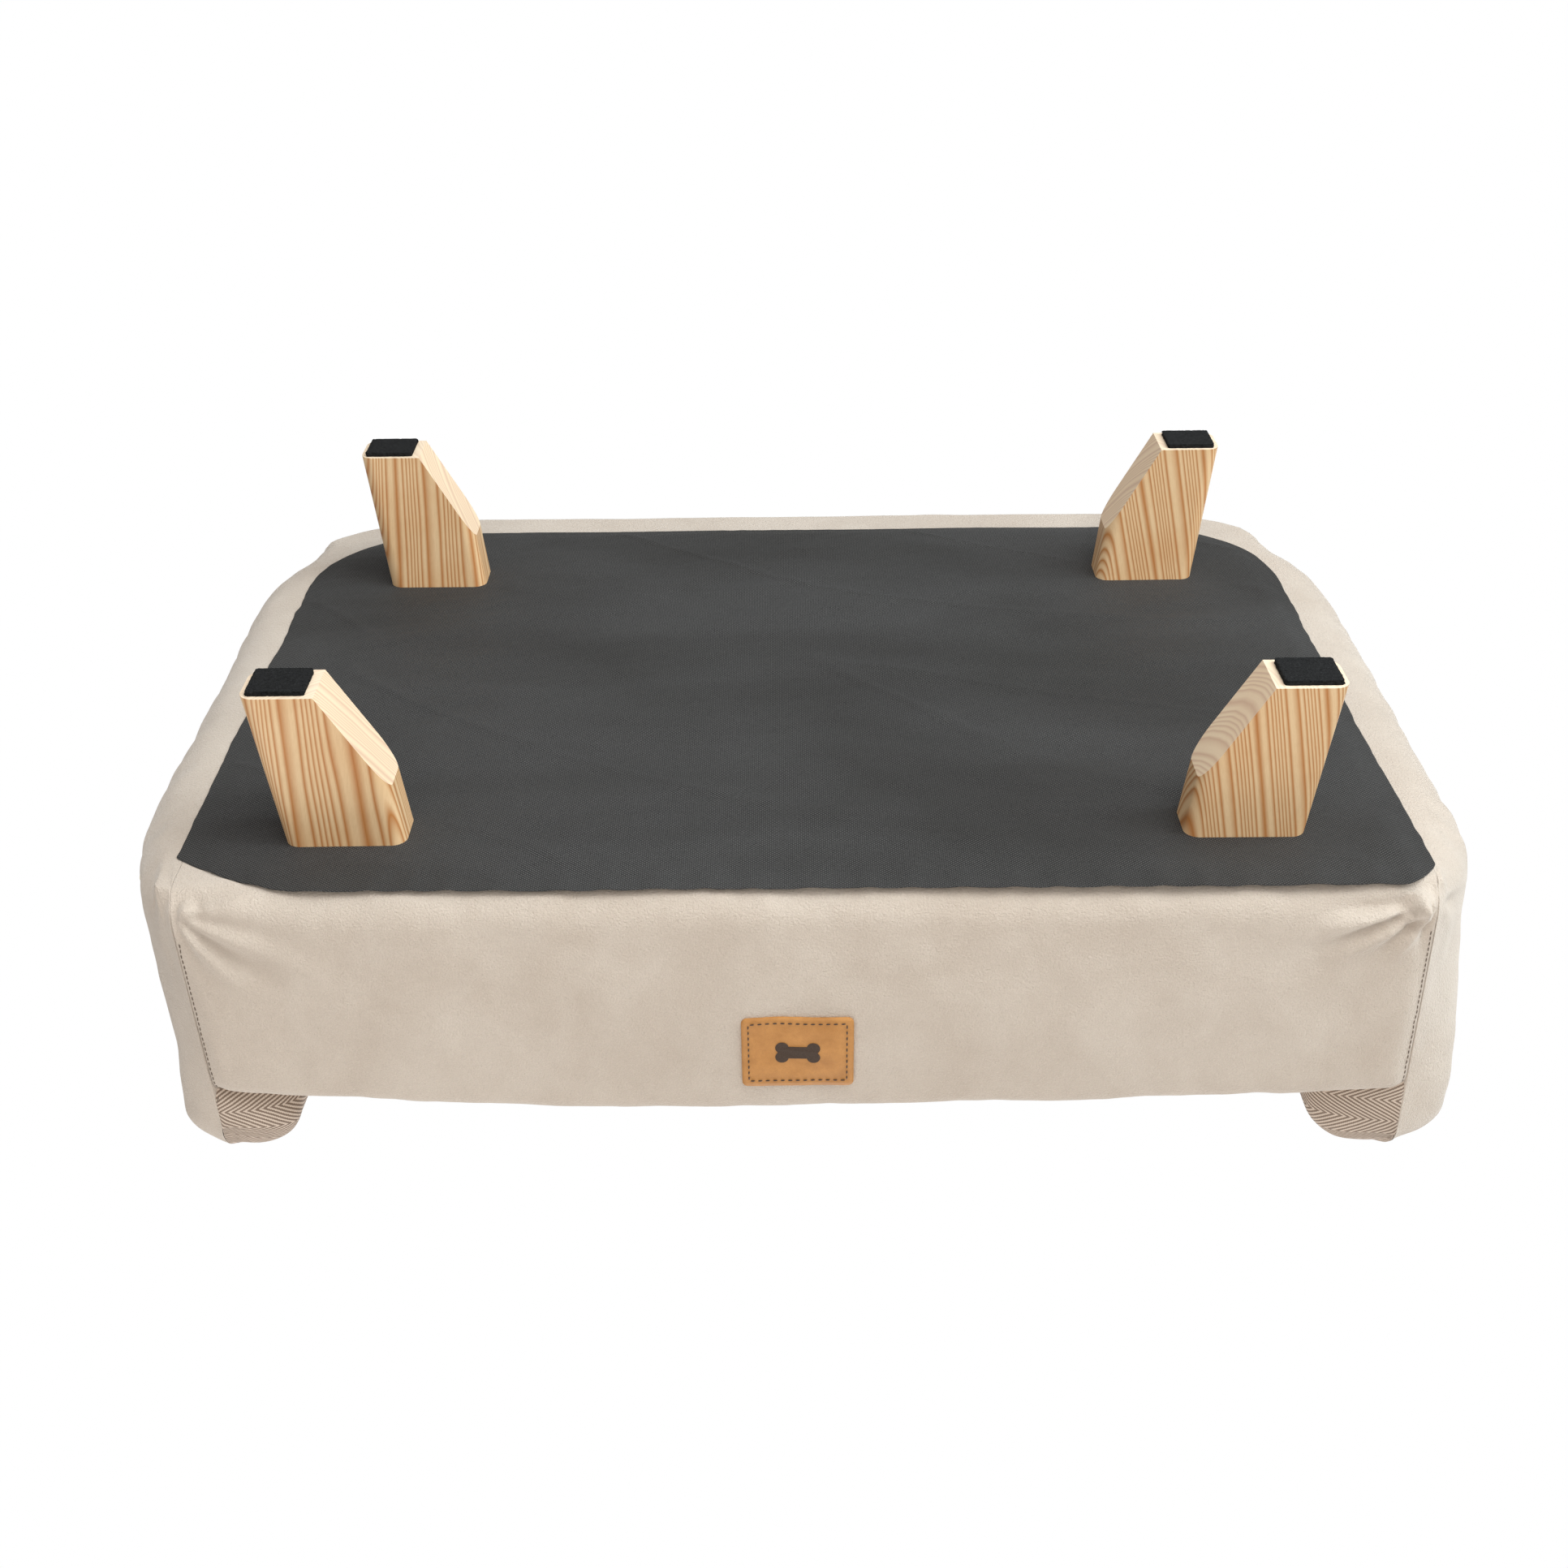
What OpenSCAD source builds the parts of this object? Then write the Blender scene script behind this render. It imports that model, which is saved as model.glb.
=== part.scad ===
/* [Body] */
// Overall width across the padded sides
body_w = 790; // [720:5:880]
// Overall depth from the apron to the padded back
body_d = 570; // [500:5:660]
// Height of the arm tops above the underside
arm_rise = 190; // [180:1:225]
// Height of the back's top above the underside
back_rise = 250; // [225:1:300]
// Height of the front apron above the underside
apron_rise = 147; // [135:1:160]
// Radius of the seat well's two back corners
well_r = 35; // [25:1:60]
// How far in front of the back corners the arms begin to rise
rise_run = 215; // [150:5:260]

/* [Wall] */
// Thickness of the padded wall at its widest, near its foot
wall_foot_t = 97; // [92:1:115]
// Radius of the wall's rolled top
wall_top_r = 36; // [32:1:44]
// Radius of the roll along the wall's lower outer edge
foot_roll_r = 32; // [20:1:34]
// Angle on the rolled top where cover and lining are sewn together
seam_angle = 75; // [55:1:95]
// Thickness of the covering cloths
cover_t = 2; // [1:0.5:3]
// Thickness of the black dust cover
dust_t = 1; // [0.5:0.5:2]
// Distance of the side seams from the wall's widest point
seam_inset = 40; // [35:1:50]

/* [Frame] */
// Thickness of the base board
board_t = 12; // [9:1:18]
// Thickness of the bent wall panel
panel_t = 4; // [3:0.5:5]
// Distance from the seat well's face to the wall panel
panel_set = 60; // [50:1:62]
// Distance from the wall's top down to the wall panel's top edge
panel_drop = 50; // [44:1:60]
// Thickness of the front rail
rail_t = 18; // [15:1:22]
// Height of the front rail
rail_h = 120; // [100:1:122]
// Thickness of the foam in front of the rail
front_pad_t = 21; // [15:1:30]
// Side of the square front posts
post_w = 30; // [24:1:34]
// Side of the square sill battens
sill_w = 15; // [10:1:20]
// Thickness of the seat foam under the cushion
seat_foam_t = 50; // [30:1:60]
// Thickness of the cloth over the seat foam
deck_t = 1; // [0.5:0.5:2]

/* [Legs] */
// Height of a wooden leg
leg_h = 100; // [80:1:150]
// Width of a leg where it meets the underside
leg_top_w = 70; // [60:1:85]
// Width of a leg at its foot
leg_foot_w = 42; // [38:1:50]
// Thickness of a leg from front to back
leg_t = 37; // [34:1:45]
// Rounding of a leg's long edges
leg_edge_r = 9; // [4:1:12]
// How far a foot stands out sideways from the leg's top
lean_out = 13; // [0:1:20]
// How far a foot stands out towards the front or back
lean_along = 5.5; // [0:0.5:10]
// Height of the straight part of a leg above its slanting cut
cut_drop = 39; // [30:1:50]
// Distance from the side of the body to a leg's outer edge
leg_side_inset = 98; // [95:1:130]
// Distance from the apron to a front leg
leg_front_inset = 58; // [55:1:90]
// Distance from the back of the body to a rear leg
leg_back_inset = 101; // [95:1:130]
// Width of a felt pad
felt_w = 33; // [26:1:36]
// Length of a felt pad
felt_l = 30; // [24:1:32]
// Thickness of a felt pad
felt_t = 3; // [2:0.5:5]
// Distance from a foot's outer edge to its felt pad
felt_set = 3.5; // [2:0.5:6]

/* [Fasteners] */
// Radius of the hanger bolts
bolt_r = 4; // [3:0.5:5]
// Length of a hanger bolt inside its leg
bolt_in_leg = 40; // [30:1:50]
// Wall of a tee nut's barrel
nut_wall = 1.5; // [1:0.25:2.5]
// Radius of a tee nut's flange
nut_flange_r = 11; // [9:0.5:14]
// Thickness of a tee nut's flange
nut_flange_t = 1.6; // [1:0.1:2]
// Radius of the frame screws
screw_r = 2; // [1.5:0.25:2.5]
// Radius of a frame screw's head
screw_head_r = 4; // [3.5:0.5:5]
// Length of a frame screw beyond the rail
screw_grip = 22; // [15:1:26]
// Width of a staple's crown
staple_w = 10; // [8:1:14]
// Thickness of the staple wire
staple_wire = 1; // [0.6:0.1:1.4]
// Length of a staple's legs
staple_l = 14; // [10:1:18]

/* [Cushion] */
// Thickness of the cushion at its edge
cushion_edge_t = 76; // [60:1:84]
// Height of the crown on the cushion's top
cushion_crown = 14; // [6:1:20]
// Gap between the cushion and the sides and front of the well
cushion_gap = 6; // [3:0.5:10]
// Gap behind the cushion, which leaves room for the zip pull
cushion_back_gap = 12; // [10:1:20]
// Radius of the cushion's front corners
cushion_front_r = 22; // [12:1:40]
// Thickness of the cushion cover's cloth
cushion_cloth_t = 2; // [1:0.5:3]

/* [Zip] */
// Length of the zip's opening
zip_l = 400; // [300:10:450]
// Width of the zip's tape
tape_w = 24; // [20:1:30]
// Thickness of the zip's tape
tape_t = 0.8; // [0.5:0.1:1]
// Width of the closed zip coil
coil_w = 5; // [4:0.5:7]
// Thickness of the zip coil
coil_t = 1.4; // [1:0.1:2]
// Length of the zip slider
slider_l = 12; // [9:1:15]
// Wall of the zip slider
slider_wall = 1; // [0.8:0.1:1.4]
// Length of the pull tab
pull_l = 22; // [16:1:26]
// Width of the pull tab
pull_w = 6; // [5:0.5:8]
// Thickness of the pull tab
pull_t = 1.2; // [1:0.1:1.6]

/* [Label] */
// Width of the sewn label
label_w = 65; // [50:1:80]
// Height of the sewn label
label_h = 50; // [35:1:55]
// Thickness of the sewn label
label_t = 1.5; // [1:0.25:2]
// Distance from the apron's top edge to the label
label_drop = 19; // [14:1:30]
// Distance from the label's edge to its stitches
stitch_inset = 4; // [3:0.5:6]
// Length of one stitch
stitch_l = 2.4; // [1.5:0.1:3.5]

/* [Hidden] */
$fn = 64;

cloth = "#cdbfae";
herringbone = "#b8a692";
black_cloth = "#2c2c2b";
pine = "#d9b583";
ply = "#c9a878";
foam = "#e9e2c6";
steel = "#a9abac";
far = 1000;               // reach of the solids that only cut others
fit = 0.4;                // gap between the bent panel and what it wraps
face_gap = 0.5;           // gap between the seat foam and the lining
rest_gap = 0.3;           // gap under the cushion, which is a part of its own
apron_edge_r = 9;         // outside radius along the apron's top and bottom edges
apron_foot = 15;          // how far the apron cover is turned in under the front

// Levels above the floor
under_z = felt_t + leg_h;
board_z = under_z + dust_t;
sole_z = board_z + board_t;
deck_z = sole_z + seat_foam_t + deck_t;
apron_z = under_z + apron_rise;
arm_z = under_z + arm_rise;
back_z = under_z + back_rise;

// Places in plan: the front is towards -Y, left and right are as seen by a dog that sits on the bed
front_y = -body_d / 2;
rail_y = front_y + cover_t + front_pad_t;
post_y = rail_y + rail_t;
wall_start_y = post_y + post_w;
well_front_y = post_y + cover_t;
well_x = body_w / 2 - wall_foot_t;
well_y = body_d / 2 - wall_foot_t;
corner_y = well_y - well_r;
panel_x = well_x + panel_set;
foot_u = wall_foot_t - foot_roll_r;
foot_z = under_z + foot_roll_r;
seam_x = body_w / 2 - seam_inset;
panel_top_z = arm_z - panel_drop;

// Legs: outer top edge, and the centre of each leg's top
leg_x = body_w / 2 - leg_side_inset - leg_top_w / 2;
leg_front_y = front_y + leg_front_inset + leg_t / 2;
leg_rear_y = body_d / 2 - leg_back_inset - leg_t / 2;
leg_places = [[1, leg_front_y, -1], [-1, leg_front_y, -1], [1, leg_rear_y, 1], [-1, leg_rear_y, 1]];

// Cushion and zip
cushion_z = deck_z + rest_gap;
cushion_x = well_x - cushion_gap;
cushion_front_y = well_front_y + cushion_gap;
cushion_back_y = well_y - cushion_back_gap;
cushion_r = well_r;
crown_r = (pow(cushion_x, 2) + pow(cushion_crown, 2)) / (2 * cushion_crown);
zip_z = cushion_z + cushion_edge_t / 2;
coil_y = cushion_back_y + tape_t;
slider_gap = 0.25;
slider_w = coil_w + 2 * (slider_gap + slider_wall);
slider_y = coil_y + coil_t + slider_gap;
pull_y = slider_y + slider_wall + slider_gap;
slider_x = -zip_l / 2 + slider_l / 2;
pin_r = 0.9;

// ---- Shapes shared by several parts ----

function arc(cu, cz, r, a0, a1, n) =
    [for (i = [0:n]) let (a = a0 + (a1 - a0) * i / n) [cu + r * cos(a), cz + r * sin(a)]];

// Angle at which the wall's outer face leaves the foot roll and meets the rolled top
function lean_angle(top) =
    let (du = wall_top_r - foot_u, dz = top - wall_top_r - foot_z)
    atan2(dz, du) - acos((foot_roll_r - wall_top_r) / norm([du, dz]));

// Outer face of the wall, from its lower edge up to an angle on the rolled top, inset by e
function outer_face(top, e, end) =
    let (lean = lean_angle(top))
    concat(arc(foot_u, foot_z, foot_roll_r - e, -90, lean, 6),
           arc(wall_top_r, top - wall_top_r, wall_top_r - e, lean, end, 5));

// Rolled top from an angle over to the seat well, and down its face to a level, inset by e
function inner_face(top, e, start, low) =
    concat(arc(wall_top_r, top - wall_top_r, wall_top_r - e, start, 180, 6), [[e, low]]);

function reversed(list) = [for (i = [len(list) - 1:-1:0]) list[i]];
function after_first(list) = [for (i = [1:len(list) - 1]) list[i]];

function cover_section(top) =
    concat(outer_face(top, 0, seam_angle), reversed(outer_face(top, cover_t, seam_angle)));

function lining_section(top) =
    concat(inner_face(top, 0, seam_angle, sole_z), reversed(inner_face(top, cover_t, seam_angle, sole_z)));

function foam_section(top) =
    concat(outer_face(top, cover_t, seam_angle),
           after_first(inner_face(top, cover_t, seam_angle, sole_z)),
           [[panel_set - sill_w - fit, sole_z],
            [panel_set - sill_w - fit, sole_z + sill_w + fit],
            [panel_set - fit, sole_z + sill_w + fit],
            [panel_set - fit, top - panel_drop + fit],
            [panel_set + panel_t + fit, top - panel_drop + fit],
            [panel_set + panel_t + fit, under_z + cover_t]]);

function panel_section(top) =
    [[panel_set, board_z], [panel_set + panel_t, board_z],
     [panel_set + panel_t, top - panel_drop], [panel_set, top - panel_drop]];

// Height of the wall's top along an arm
function top_at(y) =
    let (t = max(0, min(1, (y - corner_y + rise_run) / rise_run)))
    arm_z + (back_z - arm_z) * t * t * (3 - 2 * t);

// Stations along the seat well's faces from one arm's front to the other: x, y, outward angle, top
function arm_stations(start_y) =
    let (steps = 10, from = corner_y - rise_run)
    concat([[start_y, arm_z]], [for (i = [0:steps - 1]) let (y = from + rise_run * i / steps) [y, top_at(y)]]);

function well_stations(start_y) =
    concat([for (s = arm_stations(start_y)) [-well_x, s[0], 180, s[1]]],
           [for (i = [0:12]) let (a = 180 - i * 7.5)
               [-well_x + well_r + well_r * cos(a), corner_y + well_r * sin(a), a, back_z]],
           [for (i = [0:12]) let (a = 90 - i * 7.5)
               [well_x - well_r + well_r * cos(a), corner_y + well_r * sin(a), a, back_z]],
           [for (s = reversed(arm_stations(start_y))) [well_x, s[0], 0, s[1]]]);

// Cuts a section's outline into triangles, an ear at a time: p holds its points, left those not cut yet
function turn(a, b, c) = (b[0] - a[0]) * (c[1] - a[1]) - (b[1] - a[1]) * (c[0] - a[0]);
function holds(a, b, c, q) = turn(a, b, q) >= 0 && turn(b, c, q) >= 0 && turn(c, a, q) >= 0;
function corner(left, i) = [for (k = [-1:1]) left[(i + k + len(left)) % len(left)]];
function is_ear(p, left, i) =
    let (t = corner(left, i), a = p[t[0]], b = p[t[1]], c = p[t[2]])
    turn(a, b, c) > 0 && len([for (j = left) if (len(search(j, t)) == 0 && holds(a, b, c, p[j])) j]) == 0;
function ear(p, left, i = 0) = is_ear(p, left, i) ? i : ear(p, left, i + 1);
function triangles(p, left) =
    len(left) == 3 ? [left]
    : let (i = ear(p, left))
      concat([corner(left, i)], triangles(p, [for (j = [0:len(left) - 1]) if (j != i) left[j]]));

// Joins sections, one at each station, into a closed solid. Each four-sided face is split along
// its shorter diagonal, so that foam and cover, which share a surface, are split alike.
module loft(stations, sections) {
    n = len(sections[0]);
    m = len(sections);
    cap = triangles(sections[0], [for (i = [0:n - 1]) i]);
    points = [for (j = [0:m - 1]) let (s = stations[j]) for (p = sections[j])
        [s[0] + p[0] * cos(s[2]), s[1] + p[0] * sin(s[2]), p[1]]];
    sides = [for (j = [0:m - 2]) for (i = [0:n - 1])
        let (a = j * n + i, b = j * n + (i + 1) % n)
        each norm(points[a] - points[b + n]) < norm(points[b] - points[a + n])
            ? [[a, a + n, b + n], [a, b + n, b]]
            : [[a, a + n, b], [a + n, b + n, b]]];
    polyhedron(
        points = points,
        faces = concat(cap, [for (t = cap) [for (k = [2:-1:0]) t[k] + (m - 1) * n]], sides),
        convexity = 10
    );
}

// The plan of what fills or wraps the seat well: grow widens it, front is its front edge
module well_plan(grow, front) {
    r = well_r + grow;
    back = corner_y + r;
    union() {
        translate([-well_x - grow, front]) square([2 * (well_x + grow), corner_y - front]);
        translate([-well_x + well_r, front]) square([2 * (well_x - well_r), back - front]);
        for (side = [-1, 1]) translate([side * (well_x - well_r), corner_y]) circle(r);
    }
}

// An arm's front outline on the right, inset by e, closed at a low level
module arm_outline(e, low) {
    polygon([for (p = concat(outer_face(arm_z, e, seam_angle),
                             after_first(inner_face(arm_z, e, seam_angle, low)),
                             [[foot_u, low]])) [well_x + p[0], p[1]]]);
}

// Stands a drawing made in X and Z up, from y0 back to y1
module stand(y0, y1) {
    translate([0, y1, 0]) rotate([90, 0, 0]) linear_extrude(y1 - y0) children();
}

module both_sides() {
    children();
    mirror([1, 0, 0]) children();
}

// ---- Wooden frame ----

module base_board() {
    color(ply) difference() {
        translate([0, 0, board_z]) linear_extrude(board_t) well_plan(panel_set - fit, rail_y);
        for (p = leg_places) translate([p[0] * leg_x, p[1], 0]) {
            translate([0, 0, board_z - 1]) cylinder(h = board_t + 2, r = bolt_r + nut_wall);
            translate([0, 0, sole_z - nut_flange_t]) cylinder(h = nut_flange_t + 1, r = nut_flange_r);
        }
    }
}

module rail_screw_places() {
    for (side = [-1, 1]) for (z = [sole_z + rail_h / 4, sole_z + rail_h * 3 / 4])
        translate([side * (panel_x - fit - post_w / 2), rail_y, z]) rotate([-90, 0, 0]) children();
}

module front_rail() {
    color(pine) difference() {
        translate([-panel_x + fit, rail_y, sole_z]) cube([2 * (panel_x - fit), rail_t, rail_h]);
        rail_screw_places() {
            translate([0, 0, -1]) cylinder(h = rail_t + 2, r = screw_r);
            translate([0, 0, -1]) cylinder(h = screw_head_r + 1, r = screw_head_r);
        }
    }
}

module front_post(side) {
    low_x = side > 0 ? panel_x - fit - post_w : -panel_x + fit;
    color(pine) difference() {
        translate([low_x, post_y, sole_z]) cube([post_w, post_w, panel_top_z - sole_z]);
        rail_screw_places() cylinder(h = rail_t + screw_grip, r = screw_r);
    }
}

module wall_panel() {
    stations = well_stations(rail_y);
    color("#8a6b4a") loft(stations, [for (s = stations) panel_section(s[3])]);
}

module sill(length) {
    translate([-length / 2, -sill_w, sole_z]) cube([length, sill_w, sill_w]);
}

module sill_side(side) {
    length = corner_y - wall_start_y;
    color(pine) translate([side * (panel_x - fit), wall_start_y + length / 2, 0]) rotate([0, 0, -90 * side]) sill(length);
}

module sill_back() {
    color(pine) translate([0, well_y + panel_set - fit, 0]) sill(2 * (well_x - well_r));
}

module rail_screws() {
    color(steel) rail_screw_places() {
        cylinder(h = rail_t + screw_grip, r = screw_r);
        cylinder(h = screw_head_r, r1 = screw_head_r, r2 = screw_r);
    }
}

module staple() {
    for (x = [-1, 1]) translate([x * (staple_w - staple_wire) / 2 - staple_wire / 2, -staple_l, -staple_wire / 2])
        cube([staple_wire, staple_l, staple_wire]);
    translate([-staple_w / 2, -staple_wire / 2, -staple_wire / 2]) cube([staple_w, staple_wire, staple_wire]);
}

module panel_staples() {
    pitch = 80;
    mid_z = board_z + board_t / 2;
    out = panel_set + panel_t + staple_wire / 2;
    color(steel) {
        both_sides() for (y = [rail_y + staple_w:pitch:corner_y])
            translate([well_x + out, y, mid_z]) rotate([0, 0, -90]) staple();
        for (x = [-3 * pitch:pitch:3 * pitch]) translate([x, well_y + out, mid_z]) staple();
    }
}

// ---- Legs and their fasteners ----

module leg(side, y, along) {
    x_foot = leg_x + leg_top_w / 2 + lean_out - leg_foot_w;
    x_cut = leg_x - leg_top_w / 2 + lean_out * cut_drop / leg_h;
    x_top = x_foot + (x_cut - x_foot) * leg_h / (leg_h - cut_drop);
    reach = leg_top_w + lean_out;
    half = [leg_top_w / 2 - leg_edge_r, leg_t / 2 - leg_edge_r];
    color(pine) mirror([side < 0 ? 1 : 0, 0, 0]) difference() {
        intersection() {
            translate([leg_x, y, under_z]) rotate([atan(lean_along / leg_h) * along, -atan(lean_out / leg_h), 0])
                translate([0, 0, -leg_h - leg_t]) linear_extrude(leg_h + 2 * leg_t) union() {
                    square([leg_top_w, 2 * half[1]], center = true);
                    square([2 * half[0], leg_t], center = true);
                    for (i = [-1, 1]) for (j = [-1, 1]) translate([i * half[0], j * half[1]]) circle(leg_edge_r);
                }
            stand(y - leg_t, y + leg_t)
                polygon([[x_foot, felt_t], [x_foot + reach, felt_t], [x_foot + reach, under_z], [x_top, under_z]]);
        }
        translate([leg_x, y, under_z - bolt_in_leg]) cylinder(h = bolt_in_leg + 1, r = bolt_r);
    }
}

module felt(side, y, along) {
    x_out = leg_x + leg_top_w / 2 + lean_out - felt_set;
    x_low = side > 0 ? x_out - felt_w : -x_out;
    color(black_cloth) translate([x_low, y + along * lean_along - felt_l / 2, 0]) cube([felt_w, felt_l, felt_t]);
}

module tee_nuts() {
    color(steel) for (p = leg_places) translate([p[0] * leg_x, p[1], 0]) difference() {
        union() {
            translate([0, 0, board_z]) cylinder(h = board_t - nut_flange_t, r = bolt_r + nut_wall);
            translate([0, 0, sole_z - nut_flange_t]) cylinder(h = nut_flange_t, r = nut_flange_r);
        }
        translate([0, 0, board_z - 1]) cylinder(h = board_t + 2, r = bolt_r);
    }
}

module hanger_bolts() {
    color(steel) for (p = leg_places) translate([p[0] * leg_x, p[1], under_z - bolt_in_leg])
        cylinder(h = bolt_in_leg + dust_t + board_t - nut_flange_t, r = bolt_r);
}

// ---- Foam and covers ----

module dust_cover() {
    color(black_cloth) difference() {
        translate([0, 0, under_z]) linear_extrude(dust_t) well_plan(foot_u - fit, front_y + apron_foot);
        for (p = leg_places) translate([p[0] * leg_x, p[1], under_z - 1]) cylinder(h = dust_t + 2, r = bolt_r);
    }
}

// The apron in Y and Z, inset by e: its turned-in foot, and its rounded top edge
function apron_foot_line(e) =
    concat([[front_y + apron_foot, under_z + e]],
           arc(front_y + apron_edge_r, under_z + apron_edge_r, apron_edge_r - e, 270, 180, 4));
function apron_top_line(e) = arc(front_y + apron_edge_r, apron_z - apron_edge_r, apron_edge_r - e, 180, 90, 4);

// Lays a drawing made in Y and Z along X, from x0 to x1
module lay(x0, x1) {
    translate([x0, 0, 0]) rotate([90, 0, 90]) linear_extrude(x1 - x0) children();
}

module front_foam() {
    join = well_x + cover_t + 1;
    color(foam) difference() {
        union() {
            lay(-join, join)
                polygon(concat(apron_foot_line(cover_t), apron_top_line(cover_t),
                               [[post_y, apron_z - cover_t], [post_y, under_z + cover_t]]));
            both_sides() intersection() {
                stand(front_y + cover_t, wall_start_y) arm_outline(cover_t, under_z + cover_t);
                lay(0, far)
                    polygon(concat(apron_foot_line(cover_t),
                                   [[front_y + cover_t, far], [wall_start_y, far], [wall_start_y, under_z]]));
            }
        }
        translate([-panel_x - fit, rail_y, -1]) cube([2 * (panel_x + fit), far, sole_z + 1]);
        translate([-panel_x - fit, rail_y, 0]) cube([2 * (panel_x + fit), rail_t, sole_z + rail_h]);
        both_sides() translate([panel_x - fit - post_w, rail_y, 0]) cube([post_w + fit, far, panel_top_z]);
        both_sides() translate([panel_x - fit, rail_y, 0]) cube([panel_t + 2 * fit, far, panel_top_z + fit]);
    }
}

module wall_foam() {
    stations = well_stations(wall_start_y);
    color(foam) loft(stations, [for (s = stations) foam_section(s[3])]);
}

module seat_foam() {
    color("#dfe3dc") translate([0, 0, sole_z]) linear_extrude(seat_foam_t) well_plan(-face_gap, well_front_y + face_gap);
}

module deck_cloth() {
    color(black_cloth) translate([0, 0, sole_z + seat_foam_t]) linear_extrude(deck_t)
        well_plan(-face_gap, well_front_y + face_gap);
}

module outer_cover() {
    stations = well_stations(front_y + cover_t);
    color(cloth) {
        loft(stations, [for (s = stations) cover_section(s[3])]);
        both_sides() stand(front_y, front_y + cover_t) intersection() {
            arm_outline(0, under_z);
            translate([seam_x, 0]) square([far, far]);
        }
    }
}

module inner_lining() {
    stations = well_stations(front_y + cover_t);
    color(herringbone) {
        difference() {
            loft(stations, [for (s = stations) lining_section(s[3])]);
            translate([-far, -far, 0]) cube([2 * far, far + well_front_y, apron_z]);
        }
        both_sides() stand(front_y, front_y + cover_t) intersection() {
            arm_outline(0, under_z);
            translate([0, apron_z]) square([seam_x, far]);
        }
    }
}

module apron_cover() {
    color(cloth) {
        lay(-well_x, well_x)
            polygon(concat(apron_foot_line(0), apron_top_line(0),
                           reversed(concat(apron_foot_line(cover_t), apron_top_line(cover_t)))));
        both_sides() lay(well_x, seam_x)
            polygon(concat(apron_foot_line(0), [[front_y, apron_z], [front_y + cover_t, apron_z]],
                           reversed(apron_foot_line(cover_t))));
        translate([-well_x, front_y + apron_edge_r, apron_z - cover_t])
            cube([2 * well_x, well_front_y - front_y - apron_edge_r, cover_t]);
        translate([-well_x, post_y, sole_z]) cube([2 * well_x, cover_t, apron_z - sole_z]);
    }
}

// ---- Label ----

label_z = apron_z - label_drop - label_h / 2;

module label() {
    color("#c58b3e") translate([-label_w / 2, front_y - label_t, label_z - label_h / 2]) cube([label_w, label_t, label_h]);
}

module label_stitches() {
    wide = label_w - 2 * stitch_inset;
    high = label_h - 2 * stitch_inset;
    thick = 0.6;
    columns = floor(wide / (2 * stitch_l));
    rows = floor(high / (2 * stitch_l));
    color("#2e2019") {
        for (i = [0:columns - 1]) for (z = [-1, 1])
            translate([-wide / 2 + (i + 0.5) * wide / columns - stitch_l / 2,
                       front_y - label_t - thick, label_z + z * high / 2 - thick / 2]) cube([stitch_l, thick, thick]);
        for (i = [0:rows - 1]) for (x = [-1, 1])
            translate([x * wide / 2 - thick / 2, front_y - label_t - thick,
                       label_z - high / 2 + (i + 0.5) * high / rows - stitch_l / 2]) cube([thick, thick, stitch_l]);
    }
}

// ---- Cushion ----

module cushion_plan(e) {
    front = cushion_front_y + e;
    r_front = cushion_front_r - e;
    r_back = cushion_r - e;
    wide = cushion_x - e;
    back = cushion_back_y - e;
    union() {
        translate([-wide, front + r_front]) square([2 * wide, back - r_back - front - r_front]);
        translate([-wide + r_front, front]) square([2 * (wide - r_front), r_front]);
        translate([-wide + r_back, back - r_back]) square([2 * (wide - r_back), r_back]);
        for (side = [-1, 1]) {
            translate([side * (wide - r_front), front + r_front]) circle(r_front);
            translate([side * (wide - r_back), back - r_back]) circle(r_back);
        }
    }
}

module crown(e) {
    translate([0, (cushion_front_y + cushion_back_y) / 2, cushion_z + cushion_edge_t + cushion_crown - crown_r])
        sphere(crown_r - e, $fn = 200);
}

module cushion_fill() {
    color("#f2efe8") intersection() {
        translate([0, 0, cushion_z + cushion_cloth_t]) linear_extrude(cushion_edge_t + cushion_crown)
            cushion_plan(cushion_cloth_t);
        crown(cushion_cloth_t);
    }
}

module cushion_top() {
    color(herringbone) difference() {
        intersection() {
            translate([0, 0, cushion_z + cushion_edge_t - cushion_crown]) linear_extrude(3 * cushion_crown)
                cushion_plan(cushion_cloth_t);
            crown(0);
        }
        crown(cushion_cloth_t);
    }
}

module cushion_band() {
    color(cloth) intersection() {
        translate([0, 0, cushion_z]) linear_extrude(cushion_edge_t + cushion_crown) difference() {
            cushion_plan(0);
            cushion_plan(cushion_cloth_t);
        }
        crown(0);
    }
}

module cushion_bottom() {
    color(black_cloth) translate([0, 0, cushion_z]) linear_extrude(cushion_cloth_t) cushion_plan(cushion_cloth_t);
}

// ---- Zip in the back of the cushion's band ----

module zip_tape() {
    ends = 2 * slider_l;
    color("#b7a894") translate([-zip_l / 2 - ends / 2, cushion_back_y, zip_z - tape_w / 2])
        cube([zip_l + ends, tape_t, tape_w]);
}

module zip_coil() {
    color("#a89a86") translate([-zip_l / 2, coil_y, zip_z - coil_w / 2]) cube([zip_l, coil_t, coil_w]);
}

module zip_stops() {
    stop_l = 3;
    color(steel) for (x = [-zip_l / 2 - stop_l, zip_l / 2])
        translate([x, coil_y, zip_z - slider_w / 2]) cube([stop_l, coil_t, slider_w]);
}

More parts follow.
